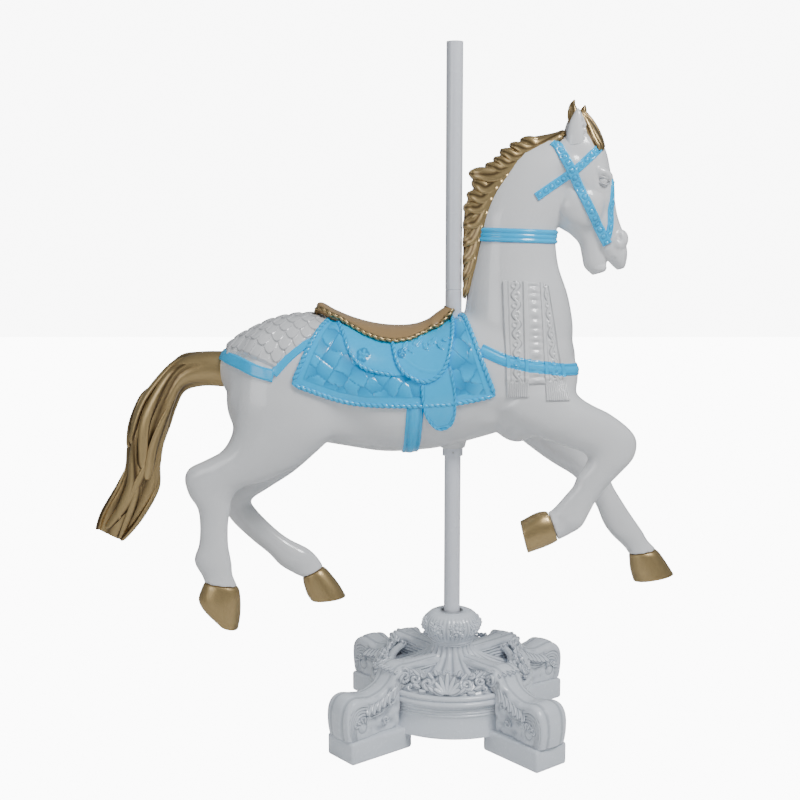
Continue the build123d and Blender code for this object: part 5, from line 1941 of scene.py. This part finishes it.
class CAROUSEL_OT_legs(bpy.types.Operator):
    """Four scroll legs with scrolls and acanthus on their shoulders"""

    bl_idname = "carousel.legs"
    bl_label = "Scroll Legs"

    def execute(self, context):
        for index in range(LEG_COUNT):
            turn = LEG_TURN + index * 2 * math.pi / LEG_COUNT
            along_leg, across = compass(turn)
            up = np.array([0, 0, 1.0])
            parts = [scroll_leg(f"leg_body_{index}", turn)]
            for way in (-1, 1):
                face = across * way
                for k, (r, z, y, size, turns, start, thick) in enumerate(LEG_SCROLLS):
                    centre = (along_leg * r + face * y + up * z) * MM
                    path = spiral(centre, along_leg, up, face, size * MM, turns, start, 0.006)
                    parts.append(swept(f"leg_scroll_{index}_{way}_{k}", path, thick * MM, depth=0.0,
                                       taper=True, around=12))
                for k in range(6):
                    t = k / 5
                    r, z = 252 + 92 * t, 190 - 58 * t + 22 * t * t
                    start = (along_leg * r + face * 42 + up * z) * MM
                    end = (along_leg * (r + 20) + face * (50 + 2 * t) + up * (z - 30 + 8 * t)) * MM
                    parts.append(leaf_lobe(f"leg_leaf_{index}_{way}_{k}", start, end, face, 0.0105,
                                           0.006, 0.004))
                for k in range(5):
                    angle = 0.75 + 0.45 * k
                    start = (along_leg * (376 - 15 * math.cos(angle)) + face * 50
                             + up * (100 + 15 * math.sin(angle))) * MM
                    end = (along_leg * (376 - 33 * math.cos(angle + 0.35)) + face * 53
                           + up * (100 + 33 * math.sin(angle + 0.35))) * MM
                    parts.append(leaf_lobe(f"leg_fan_{index}_{way}_{k}", start, end, face, 0.0058,
                                           0.0045, 0.002))
            # a leaf laid over the shoulder
            for k, swing in enumerate((-0.62, -0.3, 0, 0.3, 0.62)):
                start = (along_leg * 196 + across * swing * 16 + up * 240) * MM
                end = (along_leg * (256 - 14 * abs(swing)) + across * swing * 62
                       + up * (222 - 8 * abs(swing))) * MM
                parts.append(leaf_lobe(f"leg_shoulder_{index}_{k}", start, end, along_leg * 0.5 + up,
                                       0.0105, 0.0075, 0.010))
            leg = joined(f"scroll_leg_carving_{index + 1}", parts)
            finish_piece(leg, "stand", "pedestal_white", coat_of("stand"), f"scroll_leg_{index + 1}")
        return {"FINISHED"}


class CAROUSEL_OT_plinths(bpy.types.Operator):
    """Blocks under the toes of the scroll legs"""

    bl_idname = "carousel.plinths"
    bl_label = "Plinths"

    def execute(self, context):
        centre = math.hypot(*FIRST_BLOCK[:2])
        inner, outer = centre - PLINTH_HALF_LENGTH - PLINTH_TAIL, centre + PLINTH_HALF_LENGTH
        for index in range(LEG_COUNT):
            turn = LEG_TURN + index * 2 * math.pi / LEG_COUNT
            clear_selection()
            bpy.ops.mesh.primitive_cube_add(size=1, location=((inner + outer) / 2, 0, PLINTH_TOP / 2),
                                            scale=(outer - inner, 2 * PLINTH_HALF_WIDTH, PLINTH_TOP))
            block = bpy.context.object
            bpy.ops.object.transform_apply(location=True, rotation=True, scale=True)
            apply_modifier(block, "BEVEL", width=0.009, segments=4)
            bpy.context.scene.cursor.location = (0, 0, 0)
            block.rotation_euler[2] = turn
            bpy.ops.object.transform_apply(rotation=True)
            bpy.ops.object.shade_smooth_by_angle(angle=math.radians(40))
            block.name = f"plinth_{index + 1}"
            finish_piece(block, "stand", "pedestal_white", coat_of("stand"), f"plinth_block_{index + 1}")
        return {"FINISHED"}


# Carving between two legs, in millimetres across and up the sloping ground
DECK_SCROLLS = (       # across, up, radius, turns, start angle, thickness
    (56, 30, 21, 1.7, 1.9, 6.2), (94, 38, 17, 1.5, 0.6, 5.2), (70, 57, 10, 1.3, 3.4, 4.0),
    (106, 14, 10, 1.2, 4.2, 4.0),
)
DECK_LEAVES = (        # across, up, and how far the tip lies from there
    (34, 6, 20, 14), (40, 46, 16, 16), (60, 8, 22, -4), (76, 16, 22, 6), (80, 50, 20, 12),
    (30, 58, 10, 14), (100, 56, 18, 4), (112, 28, 14, 12),
)
DECK_BLOOMS = (        # across, up, radius
    (0, 71, 9), (-42, 62, 7), (42, 62, 7), (-84, 66, 6.5), (84, 66, 6.5), (-22, 68, 5.5),
    (22, 68, 5.5),
)


class CAROUSEL_OT_palmettes(bpy.types.Operator):
    """Palmette, scrolls and leaf sprays on the deck between the legs"""

    bl_idname = "carousel.palmettes"
    bl_label = "Palmettes"

    def execute(self, context):
        for index in range(LEG_COUNT):
            turn = LEG_TURN + (index + 0.5) * 2 * math.pi / LEG_COUNT
            face, side = compass(turn)
            up = np.array([*(-SLOPE[0] * face[:2]), SLOPE[1]])
            out = np.array([*(SLOPE[1] * face[:2]), SLOPE[0]])
            foot = face * (RIM_R - 0.008) + np.array([0, 0, DECK + 0.002])

            def on(t, h, lift=0.0):
                """A point t across and h up the sloping ground, curving with the drum."""
                sag = face * (t * t / (2 * 0.22)) * MM * MM
                return foot + side * t * MM + up * h * MM + out * lift * MM - sag

            outer = np.array([[on(t, h, -7 - 5 * (h / 60) ** 2) for t in np.linspace(-128, 128, 33)]
                              for h in np.linspace(-4, 66, 9)])
            # the ground behind the carving carries an even painted shade
            parts = [sheet_mesh(f"ground_{index}", outer, outer - out * 0.02,
                                np.full(outer.shape[:2], 0.25))]
            for k in range(7):
                lean = (k - 3) * 0.42
                length = 60 - 5.5 * abs(k - 3) ** 1.15
                start = on(math.sin(lean) * 9, 4, -2)
                end = on(math.sin(lean) * length, 4 + math.cos(lean) * length, 2)
                parts.append(leaf_lobe(f"palm_{index}_{k}", start, end, out, 0.0108, 0.0095, 0.005))
            for way in (-1, 1):
                for k, (t, h, size, turns, start, thick) in enumerate(DECK_SCROLLS):
                    path = spiral(on(way * t, h), side * way, up, out, size * MM, turns, start, 0.005)
                    parts.append(swept(f"deck_scroll_{index}_{way}_{k}", path, thick * MM, depth=0.0,
                                       taper=True, around=12))
                for k, (t, h, dt, dh) in enumerate(DECK_LEAVES):
                    parts.append(leaf_lobe(f"deck_leaf_{index}_{way}_{k}", on(way * t, h, -2),
                                           on(way * (t + dt), h + dh, 3), out, 0.0078, 0.0065, 0.003))
            blooms = [rosette(on(t, h), out, size * MM) for t, h, size in DECK_BLOOMS]
            parts.append(outward(make_object(f"deck_blooms_{index}", *merge(blooms))))
            piece = joined(f"deck_carving_{index + 1}", parts)
            finish_piece(piece, "stand", "pedestal_white", coat_of("stand"))
        return {"FINISHED"}


class CAROUSEL_OT_metalwork(bpy.types.Operator):
    """Paint and metal of the pieces that keep their own shape"""

    bl_idname = "carousel.metalwork"
    bl_label = "Paint Remaining Parts"

    def execute(self, context):
        coats = {
            "steel": ("lower_pole", "upper_pole", "clamp_collar"),
            "bare": ("collar_screws", "leg_bolts", "base_plate", "socket_tube", "pole_sleeve",
                     "sleeve_plates"),
            "white": ("belly_boss",),
            "bush": ("pole_bushes", "thrust_washer"),
        }
        for kind, names in coats.items():
            for name in names:
                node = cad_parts[name]
                node.data.materials.clear()
                node.data.materials.append(coat_of(kind))
        return {"FINISHED"}


# ---- Panel and run --------------------------------------------------------------------------
class CAROUSEL_PT_panel(bpy.types.Panel):
    """The steps that finish the carousel horse"""

    bl_idname = "CAROUSEL_PT_panel"
    bl_label = "Carousel Horse"
    bl_space_type = "VIEW_3D"
    bl_region_type = "UI"
    bl_category = "Carousel"

    def draw(self, context):
        for group in (context.scene.carousel_sizes, context.scene.carousel_colours):
            for name in group.__annotations__:
                self.layout.prop(group, name)
        for step in STEPS:
            self.layout.operator(step.bl_idname)


STEPS = (CAROUSEL_OT_stage, CAROUSEL_OT_body, CAROUSEL_OT_head, CAROUSEL_OT_ears,
         CAROUSEL_OT_eyes, CAROUSEL_OT_hooves, CAROUSEL_OT_blanket, CAROUSEL_OT_skirts,
         CAROUSEL_OT_seat, CAROUSEL_OT_straps, CAROUSEL_OT_bridle, CAROUSEL_OT_mane,
         CAROUSEL_OT_forelock, CAROUSEL_OT_tail, CAROUSEL_OT_scales, CAROUSEL_OT_scarves,
         CAROUSEL_OT_drum, CAROUSEL_OT_flare, CAROUSEL_OT_urn, CAROUSEL_OT_legs,
         CAROUSEL_OT_plinths, CAROUSEL_OT_palmettes, CAROUSEL_OT_metalwork)
CLASSES = (HorseSizes, HorseColours, *STEPS, CAROUSEL_PT_panel)


def register():
    for item in CLASSES:
        bpy.utils.register_class(item)
    bpy.types.Scene.carousel_sizes = PointerProperty(type=HorseSizes)
    bpy.types.Scene.carousel_colours = PointerProperty(type=HorseColours)


def unregister():
    del bpy.types.Scene.carousel_colours
    del bpy.types.Scene.carousel_sizes
    for item in reversed(CLASSES):
        bpy.utils.unregister_class(item)


def main():
    register()
    clear_selection()
    for step in STEPS:
        group, name = step.bl_idname.split(".")
        getattr(getattr(bpy.ops, group), name)()


if __name__ == "__main__":
    main()
